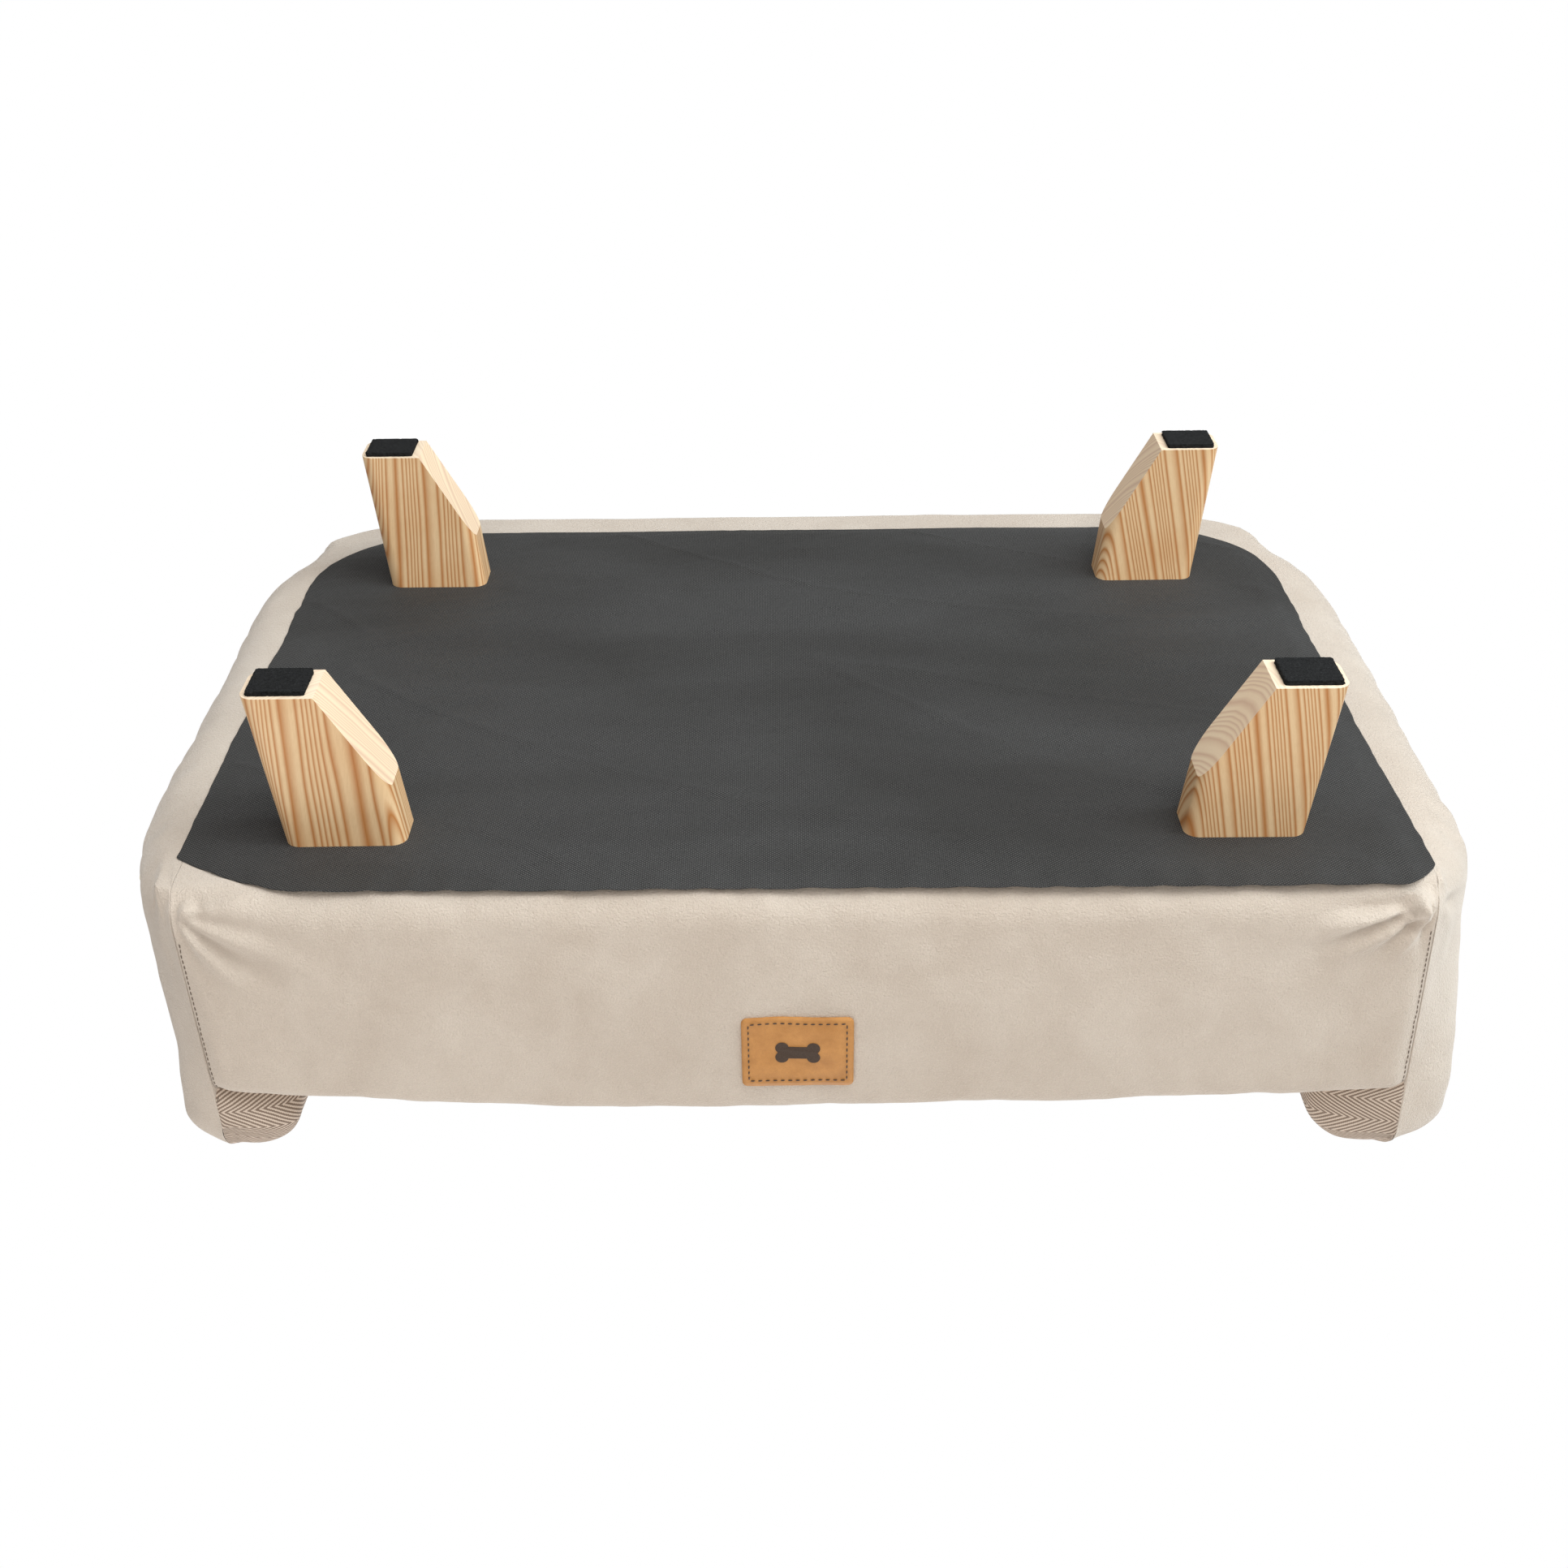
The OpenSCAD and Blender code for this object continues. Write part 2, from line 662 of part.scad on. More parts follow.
module zip_slider() {
    color(steel) {
        translate([slider_x - slider_l / 2, slider_y, zip_z - slider_w / 2]) cube([slider_l, slider_wall, slider_w]);
        for (z = [-1, 1]) translate([slider_x - slider_l / 2, coil_y + slider_gap, zip_z + z * (slider_w - slider_wall) / 2 - slider_wall / 2])
            cube([slider_l, slider_y - coil_y - slider_gap, slider_wall]);
        translate([slider_x, slider_y, zip_z]) rotate([-90, 0, 0])
            cylinder(h = slider_wall + 2 * slider_gap + pull_t, r = pin_r);
        translate([slider_x, pull_y + pull_t + slider_gap, zip_z]) rotate([-90, 0, 0]) cylinder(h = slider_wall, r = 2 * pin_r);
    }
}

module zip_pull() {
    hole_r = pin_r + 0.1;
    end_r = pull_w / 2;
    color(steel) translate([slider_x, pull_y, zip_z]) rotate([-90, 0, 0]) linear_extrude(pull_t) difference() {
        union() {
            circle(end_r);
            translate([0, pull_l - 2 * end_r]) circle(end_r);
            translate([-end_r, 0]) square([pull_w, pull_l - 2 * end_r]);
        }
        circle(hole_r);
        translate([0, pull_l - 2 * end_r]) circle(end_r / 2);
    }
}

base_board();
front_rail();
front_post(1);  // front_post_left
front_post(-1);  // front_post_right
wall_panel();
sill_side(1);  // sill_left
sill_side(-1);  // sill_right
sill_back();
rail_screws();
panel_staples();
tee_nuts();
hanger_bolts();
leg(1, leg_front_y, -1);  // leg_front_left
leg(-1, leg_front_y, -1);  // leg_front_right
leg(1, leg_rear_y, 1);  // leg_rear_left
leg(-1, leg_rear_y, 1);  // leg_rear_right
felt(1, leg_front_y, -1);  // felt_front_left
felt(-1, leg_front_y, -1);  // felt_front_right
felt(1, leg_rear_y, 1);  // felt_rear_left
felt(-1, leg_rear_y, 1);  // felt_rear_right
dust_cover();
front_foam();
wall_foam();
seat_foam();
deck_cloth();
outer_cover();
inner_lining();
apron_cover();
label();
label_stitches();
cushion_fill();
cushion_top();
cushion_band();
cushion_bottom();
zip_tape();
zip_coil();
zip_stops();
zip_slider();
zip_pull();
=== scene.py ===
import math

import bmesh
import bpy
from mathutils import Euler, Matrix, Vector, noise
from mathutils.bvhtree import BVHTree


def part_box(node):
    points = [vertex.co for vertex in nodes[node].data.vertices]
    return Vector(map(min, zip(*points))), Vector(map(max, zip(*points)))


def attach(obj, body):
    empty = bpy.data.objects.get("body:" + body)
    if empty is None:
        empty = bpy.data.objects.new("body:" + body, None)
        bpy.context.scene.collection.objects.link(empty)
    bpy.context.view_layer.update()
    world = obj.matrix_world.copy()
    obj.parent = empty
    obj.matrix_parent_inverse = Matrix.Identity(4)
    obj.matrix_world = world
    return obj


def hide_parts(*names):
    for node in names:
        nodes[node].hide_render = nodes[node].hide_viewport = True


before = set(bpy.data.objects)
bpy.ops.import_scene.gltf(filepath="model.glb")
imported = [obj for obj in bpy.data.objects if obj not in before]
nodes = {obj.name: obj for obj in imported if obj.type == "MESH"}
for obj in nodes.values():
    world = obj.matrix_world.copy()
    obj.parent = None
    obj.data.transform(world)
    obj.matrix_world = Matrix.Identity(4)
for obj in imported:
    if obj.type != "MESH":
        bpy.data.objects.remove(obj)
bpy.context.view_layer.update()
print("frame loaded:", len(nodes), "CAD pieces")

# Places taken from the frame
dustLow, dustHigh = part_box("dust_cover")
apronLow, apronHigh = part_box("apron_cover")
deckLow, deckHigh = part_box("deck_cloth")
boardLow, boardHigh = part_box("base_board")
underZ = dustLow.z
frontY = apronLow.y
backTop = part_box("inner_lining")[1].z
tuckZ = deckHigh.z - 0.004             # the lining and the apron's cover end here, beside the seat

# In pairs like {-1: ..., 1: ...}, -1 is the bed's right side and 1 is its left
wall = {
    "wellX": deckHigh.x + 0.0005,      # inner faces of the arms
    "wellY": deckHigh.y + 0.0005,      # inner face of the back
    "wellR": 0.035,                    # rounding of the well's back corners
    "footU": dustHigh.x - deckHigh.x,
    "footRoll": 0.034,                 # roll along the lower outer edge
    "topRoll": 0.036,                  # rolled top
    "armTop": underZ + 0.190,
    "riseRun": 0.215,                  # how far in front of the back corners the arms begin to rise
    "seamAngle": 75.0,                 # where velvet and lining meet on the rolled top
    "seamY": 0.004,                    # the front seams lie this far behind the apron
    "seamFoot": {-1: 0.362, 1: 0.354},     # how far out they stand, at the foot and at the arms' tops
    "seamTop": {-1: 0.359, 1: 0.343},
    "seamHigh": {-1: 0.019, 1: 0.029},     # rounding of the arms' front ends, below their tops
    "endRun": 0.125,                       # how far back the rounding of the front ends may reach
    "footRun": {-1: 0.105, 1: 0.125},      # how far it does, at the foot and at the top
    "topRun": {-1: 0.024, 1: 0.026},
    "innerRun": {-1: 0.002, 1: -0.005},    # and how much further than at the top, inside the well
    "fullness": {-1: 0.085, 1: 0.035},     # how much thicker than its board and foam each arm is padded
    "crest": {-1: 0.0045, 1: 0.0},         # and how much higher
    "outward": {-1: 0.008, 1: 0.001},      # how far the top of each arm leans out
    "shoulder": {-1: 0.010, 1: 0.000},     # and how much wider it is at the top
    "square": {-1: 0.004, 1: 0.004},       # fills out the outer side of the rolled top
    "waist": {-1: 0.001, 1: 0.005},        # and draws in the side below it
    "hem": (0.004, 0.008),                 # seam allowance: inwards and backwards
    "hemUp": 0.0007,                       # and above the cloth, under the bed
    "tuckIn": 0.040,                       # how far the velvet reaches under the dust cover
    "columns": (30, 34, 18, 56),           # front end, arm, corner, back
    "rows": 64,
}
cornerY = wall["wellY"] - wall["wellR"]


def smooth(x, low=0.0, high=1.0):
    t = min(1.0, max(0.0, (x - low) / (high - low)))
    return t * t * (3.0 - 2.0 * t)


def bell(x, at, width):
    return math.exp(-((x - at) / width) ** 2)


def waves(x, y=0.0, z=0.0):
    return noise.noise(Vector((x, y, z)))


def roundedCorner(x, y, half, radius):
    # a place on a rectangle, with its square corner pulled on to a rounding
    dx, dy = abs(x) - (half.x - radius), abs(y) - (half.y - radius)
    if dx <= 0 or dy <= 0:
        return x, y
    pull = max(dx, dy) / math.hypot(dx, dy)
    return math.copysign(half.x - radius + dx * pull, x), math.copysign(half.y - radius + dy * pull, y)


def arcPoints(u, z, radius, start, end, steps=16):
    angles = [math.radians(start + (end - start) * i / steps) for i in range(steps + 1)]
    return [(u + radius * math.cos(a), z + radius * math.sin(a)) for a in angles]


def evenly(points, count):
    # the same line again, cut into count equal lengths
    lengths = [0.0]
    for (u0, z0), (u1, z1) in zip(points, points[1:]):
        lengths.append(lengths[-1] + math.hypot(u1 - u0, z1 - z0))
    line, k = [], 0
    for i in range(count + 1):
        want = lengths[-1] * i / count
        while k < len(points) - 2 and lengths[k + 1] < want:
            k += 1
        t = (want - lengths[k]) / max(1e-9, lengths[k + 1] - lengths[k])
        line.append(tuple(p + (q - p) * t for p, q in zip(points[k], points[k + 1])))
    return line, lengths[-1]


def topAt(y):
    rise = smooth(y, cornerY - wall["riseRun"], cornerY)
    return wall["armTop"] + (backTop - wall["armTop"]) * rise


def leanAngle(top):
    # which way the flat side between the two rolls faces
    du = wall["topRoll"] - wall["footU"]
    dz = top - wall["topRoll"] - underZ - wall["footRoll"]
    turn = math.acos((wall["footRoll"] - wall["topRoll"]) / math.hypot(du, dz))
    return math.degrees(math.atan2(dz, du) - turn)


def outerLine(top):
    # the velvet's section, from under the bed up to the seam
    lean = leanAngle(top)
    roll, crest = wall["footRoll"], wall["topRoll"]
    return ([(wall["footU"] - wall["tuckIn"], underZ)]
            + arcPoints(wall["footU"], underZ + roll, roll, -90, lean)
            + arcPoints(crest, top - crest, crest, lean, wall["seamAngle"]))


def innerLine(top):
    # the lining's section, from the seam down into the well
    crest = wall["topRoll"]
    return arcPoints(crest, top - crest, crest, wall["seamAngle"], 180) + [(0.0, tuckZ)]


def seamX(side, z):
    t = min(1.0, max(0.0, (z - underZ) / (wall["armTop"] - underZ)))
    return side * (wall["seamFoot"][side] + (wall["seamTop"][side] - wall["seamFoot"][side]) * t)


def frontSeam(side, z):
    # the seam beside the apron: it stands almost upright, and follows the apron's roll under the bed
    roll = apron["footRoll"]
    low = min(roll, max(0.0, underZ + roll - z))
    y = frontY + roll - math.sqrt(max(0.0, roll * roll - low * low)) + wall["seamY"]
    return Vector((seamX(side, z), y, z))


def cornerSeam(side, t, topZ):
    # the same seam from its hidden end under the dust cover, in step with a section of the arm's velvet
    roll = apron["footRoll"]
    sideLength = 0.166                     # from the lower roll up to the top seam
    under = wall["tuckIn"]
    rolled = under + wall["footRoll"] * math.radians(90 + leanAngle(wall["armTop"]))
    whole = rolled + sideLength
    under, rolled = under / whole, rolled / whole
    if t < under:
        y = frontY + apron["tuckIn"] + (roll - apron["tuckIn"]) * t / under
        return Vector((seamX(side, underZ), y + wall["seamY"], underZ))
    if t < rolled:
        a = math.pi / 2 * (t - under) / (rolled - under)
        z = underZ + roll - roll * math.cos(a)
        return Vector((seamX(side, z), frontY + roll - roll * math.sin(a) + wall["seamY"], z))
    left = 1 - (t - rolled) / (1 - rolled)
    z = underZ + roll + (topZ - underZ - roll) * (1 - left ** 1.5)
    return Vector((seamX(side, z), frontY + wall["seamY"], z))


def wallColumns():
    # from the right arm's front end round the back to the left arm's: a zone, and the place in it
    end, arm, corner, back = wall["columns"]
    y0 = frontY + wall["seamY"]
    half = [("hem", 0.0)] + [("end", wall["endRun"] * (i / end) ** 2.0) for i in range(end)]
    armY = y0 + wall["endRun"]
    half += [("arm", armY + (cornerY - armY) * i / arm) for i in range(arm)]
    half += [("corner", 90.0 * i / corner) for i in range(corner)]
    middle = wall["wellX"] - wall["wellR"]
    right = [(-1, zone, at) for zone, at in half]
    left = [(1, zone, at) for zone, at in reversed(half)]
    return right + [(0, "back", -middle + 2 * middle * i / back) for i in range(back + 1)] + left


def pushOut(bm, howFar):
    # every point along its own normal
    for v, move in [(v, v.normal * howFar(v)) for v in bm.verts]:
        v.co += move


def shadeSmooth(bm):
    for f in bm.faces:
        f.smooth = True


def addBlock(bm, low, high):
    made = bmesh.ops.create_cube(bm, size=1)["verts"]
    bmesh.ops.scale(bm, verts=made, vec=[q - p for p, q in zip(low, high)])
    bmesh.ops.translate(bm, verts=made, vec=[(p + q) / 2 for p, q in zip(low, high)])
    return made


def roundOff(bm, edges, offset, segments=3):
    bmesh.ops.bevel(bm, geom=edges, offset=offset, segments=segments, profile=0.5,
                    affect="EDGES", material=-1)


def clothGrid(columns, rows, place, relief=None):
    # a grid, each point put where place(i, j) says: a position and a place on the cloth in metres;
    # under the bed it is then pulled flat beneath the board
    bm = bmesh.new()
    bmesh.ops.create_grid(bm, x_segments=columns, y_segments=rows, size=1)
    uvLayer = bm.loops.layers.uv.new("cloth")
    onCloth = {}
    for v in bm.verts:
        i = round((v.co.x + 1) / 2 * columns)
        j = round((v.co.y + 1) / 2 * rows)
        v.co, onCloth[v] = place(i, j)
    shadeSmooth(bm)
    for f in bm.faces:
        for loop in f.loops:
            loop[uvLayer].uv = onCloth[loop.vert]
    bm.normal_update()
    if relief:
        pushOut(bm, lambda v: relief(v.co, onCloth[v]))
        for v in bm.verts:
            over = 1 - smooth(abs(v.co.x), boardHigh.x + 0.006, boardHigh.x + 0.012)
            over *= smooth(v.co.y, boardLow.y - 0.012, boardLow.y - 0.006)
            if v.co.z < underZ + 0.03:
                v.co.z -= over * max(0.0, v.co.z - underZ - 0.0007)
    return bm


def linked(name, data):
    thing = bpy.data.objects.new(name, data)
    bpy.context.scene.collection.objects.link(thing)
    return thing


def makeObject(name, bm, material):
    mesh = bpy.data.meshes.new(name)
    bm.to_mesh(mesh)
    bm.free()
    mesh.materials.append(material)
    return linked(name, mesh)


def fromMesh(data):
    bm = bmesh.new()
    bm.from_mesh(data)
    return bm


def standFor(piece, body, slot, *replaced):
    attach(piece, body)
    if replaced:
        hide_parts(*replaced)


def softened(piece, thickness=0.0):
    if thickness:
        solid = piece.modifiers.new("thickness", "SOLIDIFY")
        solid.thickness = thickness
        solid.offset = -1
    finer = piece.modifiers.new("finer", "SUBSURF")
    finer.levels = 1
    finer.render_levels = 1
    return piece


# Shader helpers
def wire(tree, source, socket):
    if isinstance(source, bpy.types.NodeSocket):
        tree.links.new(source, socket)
    else:
        socket.default_value = source


def calc(tree, operation, *values):
    n = tree.nodes.new("ShaderNodeMath")
    n.operation = operation
    for value, socket in zip(values, n.inputs):
        wire(tree, value, socket)
    return n.outputs[0]


def times(tree, a, b):
    return calc(tree, "MULTIPLY", a, b)


def plus(tree, *values):
    total = values[0]
    for value in values[1:]:
        total = calc(tree, "ADD", total, value)
    return total


def parted(tree, vector):
    n = tree.nodes.new("ShaderNodeSeparateXYZ")
    wire(tree, vector, n.inputs[0])
    return n.outputs


def noiseAt(tree, vector, scale, detail=2.0, roughness=0.5, distortion=0.0):
    n = tree.nodes.new("ShaderNodeTexNoise")
    wire(tree, vector, n.inputs["Vector"])
    wire(tree, scale, n.inputs["Scale"])
    n.inputs["Detail"].default_value = detail
    n.inputs["Roughness"].default_value = roughness
    n.inputs["Distortion"].default_value = distortion
    return n.outputs["Fac"]


def span(tree, value, low, high, newLow=0.0, newHigh=1.0):
    n = tree.nodes.new("ShaderNodeMapRange")
    for source, socket in zip((value, low, high, newLow, newHigh), n.inputs):
        wire(tree, source, socket)
    return n.outputs[0]


def ramp(tree, value, *stops):
    n = tree.nodes.new("ShaderNodeValToRGB")
    wire(tree, value, n.inputs[0])
    while len(n.color_ramp.elements) < len(stops):
        n.color_ramp.elements.new(0.5)
    for element, (place, colour) in zip(n.color_ramp.elements, stops):
        element.position = place
        element.color = (*colour, 1)
    return n.outputs[0]


def mixed(tree, fac, a, b, kind="MIX"):
    n = tree.nodes.new("ShaderNodeMix")
    n.data_type = "RGBA"
    n.blend_type = kind
    wire(tree, fac, n.inputs[0])
    wire(tree, (*a, 1) if isinstance(a, tuple) else a, n.inputs[6])
    wire(tree, (*b, 1) if isinstance(b, tuple) else b, n.inputs[7])
    return n.outputs[2]


def newGroup(name, inputs, outputs):
    tree = bpy.data.node_groups.new(name, "ShaderNodeTree")
    for label, kind, value in inputs:
        socket = tree.interface.new_socket(label, in_out="INPUT", socket_type="NodeSocket" + kind)
        if value is not None:
            socket.default_value = value
    for label in outputs:
        tree.interface.new_socket(label, in_out="OUTPUT", socket_type="NodeSocketFloat")
    return tree, tree.nodes.new("NodeGroupInput").outputs, tree.nodes.new("NodeGroupOutput").inputs


def useGroup(tree, group, **values):
    n = tree.nodes.new("ShaderNodeGroup")
    n.node_tree = group
    for label, value in values.items():
        wire(tree, value, n.inputs[label])
    return n.outputs


def newMaterial(name, **fixed):
    material = bpy.data.materials.new(name)
    material.use_nodes = True
    tree = material.node_tree
    shader = tree.nodes["Principled BSDF"]
    for label, value in fixed.items():
        shader.inputs[label.replace("_", " ")].default_value = value
    return material, tree, shader.inputs


def bump(tree, height, strength, distance, shaderInputs):
    n = tree.nodes.new("ShaderNodeBump")
    n.inputs["Strength"].default_value = strength
    n.inputs["Distance"].default_value = distance
    wire(tree, height, n.inputs["Height"])
    tree.links.new(n.outputs[0], shaderInputs["Normal"])


def mapped(tree, vector, shift=(0, 0, 0), turn=(0, 0, 0), scale=(1, 1, 1)):
    n = tree.nodes.new("ShaderNodeMapping")
    wire(tree, vector, n.inputs[0])
    n.inputs["Location"].default_value = shift
    n.inputs["Rotation"].default_value = turn
    n.inputs["Scale"].default_value = scale
    return n.outputs[0]


def objectCoords(tree, **moved):
    return mapped(tree, tree.nodes.new("ShaderNodeTexCoord").outputs["Object"], **moved)


def clothCoords(tree):
    n = tree.nodes.new("ShaderNodeUVMap")
    n.uv_map = "cloth"
    return n.outputs[0]


# Effects that several finishes share
def makeNapGroup():
    # brushed pile: broad patches where it lies another way, and its fine grain
    inputs = [("Vector", "Vector", None), ("Patch", "Float", 11.0), ("Grain", "Float", 620.0)]
    tree, given, out = newGroup("brushedNap", inputs, ["Tone", "Height"])
    broad = noiseAt(tree, given["Vector"], given["Patch"], 4.0, 0.55, 0.9)
    streak = noiseAt(tree, given["Vector"], times(tree, given["Patch"], 4.5), 3.0, 0.6, 0.4)
    grain = noiseAt(tree, given["Vector"], given["Grain"], 2.5, 0.62, 0.35)
    fine = noiseAt(tree, given["Vector"], times(tree, given["Grain"], 2.7), 1.0)
    broadly = times(tree, span(tree, broad, 0.33, 0.67), 0.6)
    finely = times(tree, span(tree, streak, 0.3, 0.7), 0.25)
    wire(tree, plus(tree, broadly, finely, times(tree, fine, 0.15)), out["Tone"])
    wire(tree, plus(tree, times(tree, grain, 0.8), times(tree, fine, 0.2)), out["Height"])
    return tree


def makeWeaveGroup():
    # herringbone: slanting ribs that turn back at each band, each rib a row of short floats
    inputs = [("Vector", "Vector", None), ("Band", "Float", 0.0155), ("Pitch", "Float", 0.0045)]
    tree, given, out = newGroup("herringboneWeave", inputs, ["Yarn", "Height"])
    floatWidth = 0.00115
    x, y = parted(tree, given["Vector"])[:2]
    wander = noiseAt(tree, given["Vector"], 45.0, 2.0)
    zigzag = calc(tree, "PINGPONG", plus(tree, y, times(tree, wander, 0.0016)), given["Band"])
    slant = plus(tree, x, times(tree, zigzag, 1.7))
    wave = calc(tree, "SINE", times(tree, calc(tree, "DIVIDE", slant, given["Pitch"]), math.tau))
    steep = plus(tree, x, times(tree, zigzag, 0.35))
    floats = calc(tree, "SINE", times(tree, steep, math.tau / floatWidth))
    fluff = noiseAt(tree, given["Vector"], 1300.0, 2.0)
    loose = times(tree, calc(tree, "SUBTRACT", fluff, 0.5), 0.9)
    yarn = plus(tree, wave, loose, times(tree, floats, 0.22))
    wire(tree, span(tree, yarn, -0.5, 0.6), out["Yarn"])
    height = plus(tree, times(tree, wave, 0.5), times(tree, floats, 0.2), times(tree, fluff, 0.4))
    wire(tree, height, out["Height"])
    return tree


def makePineGroup():
    # growth rings round a far-off heart: pale early wood that darkens to a narrow late line
    inputs = [("Vector", "Vector", None), ("Pitch", "Float", 0.0034), ("Wander", "Float", 0.006)]
    tree, given, out = newGroup("pineGrain", inputs, ["Ring", "Fibre"])
    x, y = parted(tree, given["Vector"])[:2]
    drift = noiseAt(tree, mapped(tree, given["Vector"], scale=(1, 1, 0.14)), 26.0, 2.0, 0.4)
    square = plus(tree, calc(tree, "POWER", x, 2.0), calc(tree, "POWER", y, 2.0))
    radius = plus(tree, calc(tree, "SQRT", square), times(tree, drift, given["Wander"]))
    unevenly = times(tree, calc(tree, "SINE", times(tree, radius, 310.0)), 0.0022)
    ring = calc(tree, "FRACT", calc(tree, "DIVIDE", plus(tree, radius, unevenly), given["Pitch"]))
    threads = mapped(tree, given["Vector"], scale=(1, 1, 0.03))
    wire(tree, ring, out["Ring"])
    wire(tree, noiseAt(tree, threads, 1500.0, 3.0, 0.6), out["Fibre"])
    return tree


def makeSpunbondGroup():
    # pressed cloth: rows of small bonded dots among loose fibres
    inputs = [("Vector", "Vector", None), ("Pitch", "Float", 0.0024)]
    tree, given, out = newGroup("spunbondDots", inputs, ["Dot", "Fibre"])
    x, y = parted(tree, given["Vector"])[:2]
    rate = calc(tree, "DIVIDE", math.pi, given["Pitch"])
    along = times(tree, x, rate)
    across = times(tree, y, times(tree, rate, 1.25))
    first = calc(tree, "SINE", plus(tree, along, across))
    second = calc(tree, "SINE", calc(tree, "SUBTRACT", along, across))
    dot = span(tree, calc(tree, "ABSOLUTE", times(tree, first, second)), 0.58, 0.88)
    wire(tree, dot, out["Dot"])
    wire(tree, noiseAt(tree, given["Vector"], 1300.0, 4.0, 0.7, 1.2), out["Fibre"])
    return tree


brushedNap = makeNapGroup()
herringboneWeave = makeWeaveGroup()
pineGrain = makePineGroup()
spunbondDots = makeSpunbondGroup()


def velvetFinish(name, dark, light):
    material, tree, shader = newMaterial(name, Roughness=0.82, Sheen_Weight=0.55, Sheen_Roughness=0.35,
                                         Sheen_Tint=(1.0, 0.95, 0.88, 1), Specular_IOR_Level=0.2)
    vector = objectCoords(tree)
    nap = useGroup(tree, brushedNap, Vector=vector, Grain=760.0)
    specks = noiseAt(tree, vector, 1500.0, 2.0, 0.7)
    tone = ramp(tree, nap["Tone"], (0.15, dark), (0.85, light))
    flecks = ramp(tree, specks, (0.3, (0.84, 0.83, 0.82)), (0.62, (1.0, 1.0, 1.0)))
    wire(tree, mixed(tree, 0.8, tone, flecks, "MULTIPLY"), shader["Base Color"])
    bump(tree, nap["Height"], 1.0, 0.0013, shader)
    return material


def herringboneFinish(name, dark, light):
    material, tree, shader = newMaterial(name, Roughness=0.85, Sheen_Weight=0.2, Specular_IOR_Level=0.2)
    vector = clothCoords(tree)
    weave = useGroup(tree, herringboneWeave, Vector=vector)
    nap = useGroup(tree, brushedNap, Vector=objectCoords(tree), Patch=16.0, Grain=1400.0)
    yarns = mixed(tree, weave["Yarn"], dark, light)
    worn = ramp(tree, nap["Tone"], (0.2, (0.90, 0.895, 0.89)), (0.8, (1.0, 1.0, 1.0)))
    wire(tree, mixed(tree, 0.8, yarns, worn, "MULTIPLY"), shader["Base Color"])
    bump(tree, weave["Height"], 0.7, 0.0006, shader)
    return material


def spunbondFinish(name, cloth, dots):
    material, tree, shader = newMaterial(name, Specular_IOR_Level=0.30, Sheen_Weight=0.02)
    pressed = useGroup(tree, spunbondDots, Vector=objectCoords(tree))
    nap = useGroup(tree, brushedNap, Vector=objectCoords(tree), Patch=7.0, Grain=900.0)
    tone = mixed(tree, nap["Tone"], tuple(0.7 * c for c in cloth), tuple(1.3 * c for c in cloth))
    folds = noiseAt(tree, objectCoords(tree, scale=(1.0, 2.2, 1.0)), 5.0, 2.0, 0.4, 0.3)
    fibres = mixed(tree, span(tree, pressed["Fibre"], 0.35, 0.75, 0.0, 0.5), tone, dots)
    dotted = mixed(tree, times(tree, pressed["Dot"], 0.85), fibres, dots)
    # painted shade: the colour is darkened in the folds' hollows and lifted a little on their ridges,
    # as shade and light on the folds
    paintedFoldShade = ramp(tree, folds, (0.34, (0.72, 0.70, 0.67)), (0.66, (1.08, 1.08, 1.08)))
    wire(tree, mixed(tree, 1.0, dotted, paintedFoldShade, "MULTIPLY"), shader["Base Color"])
    wire(tree, span(tree, pressed["Dot"], 0.0, 1.0, 0.80, 0.45), shader["Roughness"])
    near = calc(tree, "SUBTRACT", times(tree, pressed["Fibre"], 0.5), pressed["Dot"])
    bump(tree, plus(tree, near, times(tree, folds, 22.0)), 0.9, 0.0004, shader)
    return material


def endGrainAndPaintedLight(tree):
    # how far a face looks up or down, along z: such faces are painted paler, partly as sanded end
    # grain, which runs along z in the legs, and partly as painted light
    normal = tree.nodes.new("ShaderNodeTexCoord").outputs["Normal"]
    return span(tree, calc(tree, "ABSOLUTE", parted(tree, normal)[2]), 0.3, 0.6)


paleWood = (0.735, 0.515, 0.292)
lateWood = (0.465, 0.188, 0.052)


def pineFinish(name, shift, turn, pitch=0.0031, wander=0.006, pale=paleWood, late=lateWood):
    material, tree, shader = newMaterial(name, Specular_IOR_Level=0.35)
    vector = objectCoords(tree, shift=shift, turn=turn)
    grain = useGroup(tree, pineGrain, Vector=vector, Pitch=pitch, Wander=wander)
    mid = tuple(0.55 * p + 0.45 * q for p, q in zip(pale, late))
    rings = ramp(tree, grain["Ring"], (0.0, mid), (0.14, pale), (0.40, pale), (0.64, mid), (0.86, late),
                 (1.0, mid))
    cloud = noiseAt(tree, vector, 22.0, 2.0)
    blush = ramp(tree, cloud, (0.35, (1.0, 1.0, 1.0)), (0.7, (0.90, 0.78, 0.66)))
    toned = mixed(tree, 0.6, rings, blush, "MULTIPLY")
    fibre = ramp(tree, grain["Fibre"], (0.3, (0.86, 0.82, 0.78)), (0.6, (1.0, 1.0, 1.0)))
    toned = mixed(tree, 0.45, toned, fibre, "MULTIPLY")
    # pale cream on faces that look up or down: sanded end grain in part, painted light in part
    sawnAndPaintedLight = mixed(tree, 0.6, toned, (0.97, 0.84, 0.66))
    wire(tree, mixed(tree, endGrainAndPaintedLight(tree), toned, sawnAndPaintedLight), shader["Base Color"])
    wire(tree, span(tree, grain["Ring"], 0.0, 1.0, 0.58, 0.44), shader["Roughness"])
    bump(tree, plus(tree, times(tree, grain["Fibre"], 0.5), grain["Ring"]), 0.18, 0.0003, shader)
    return material


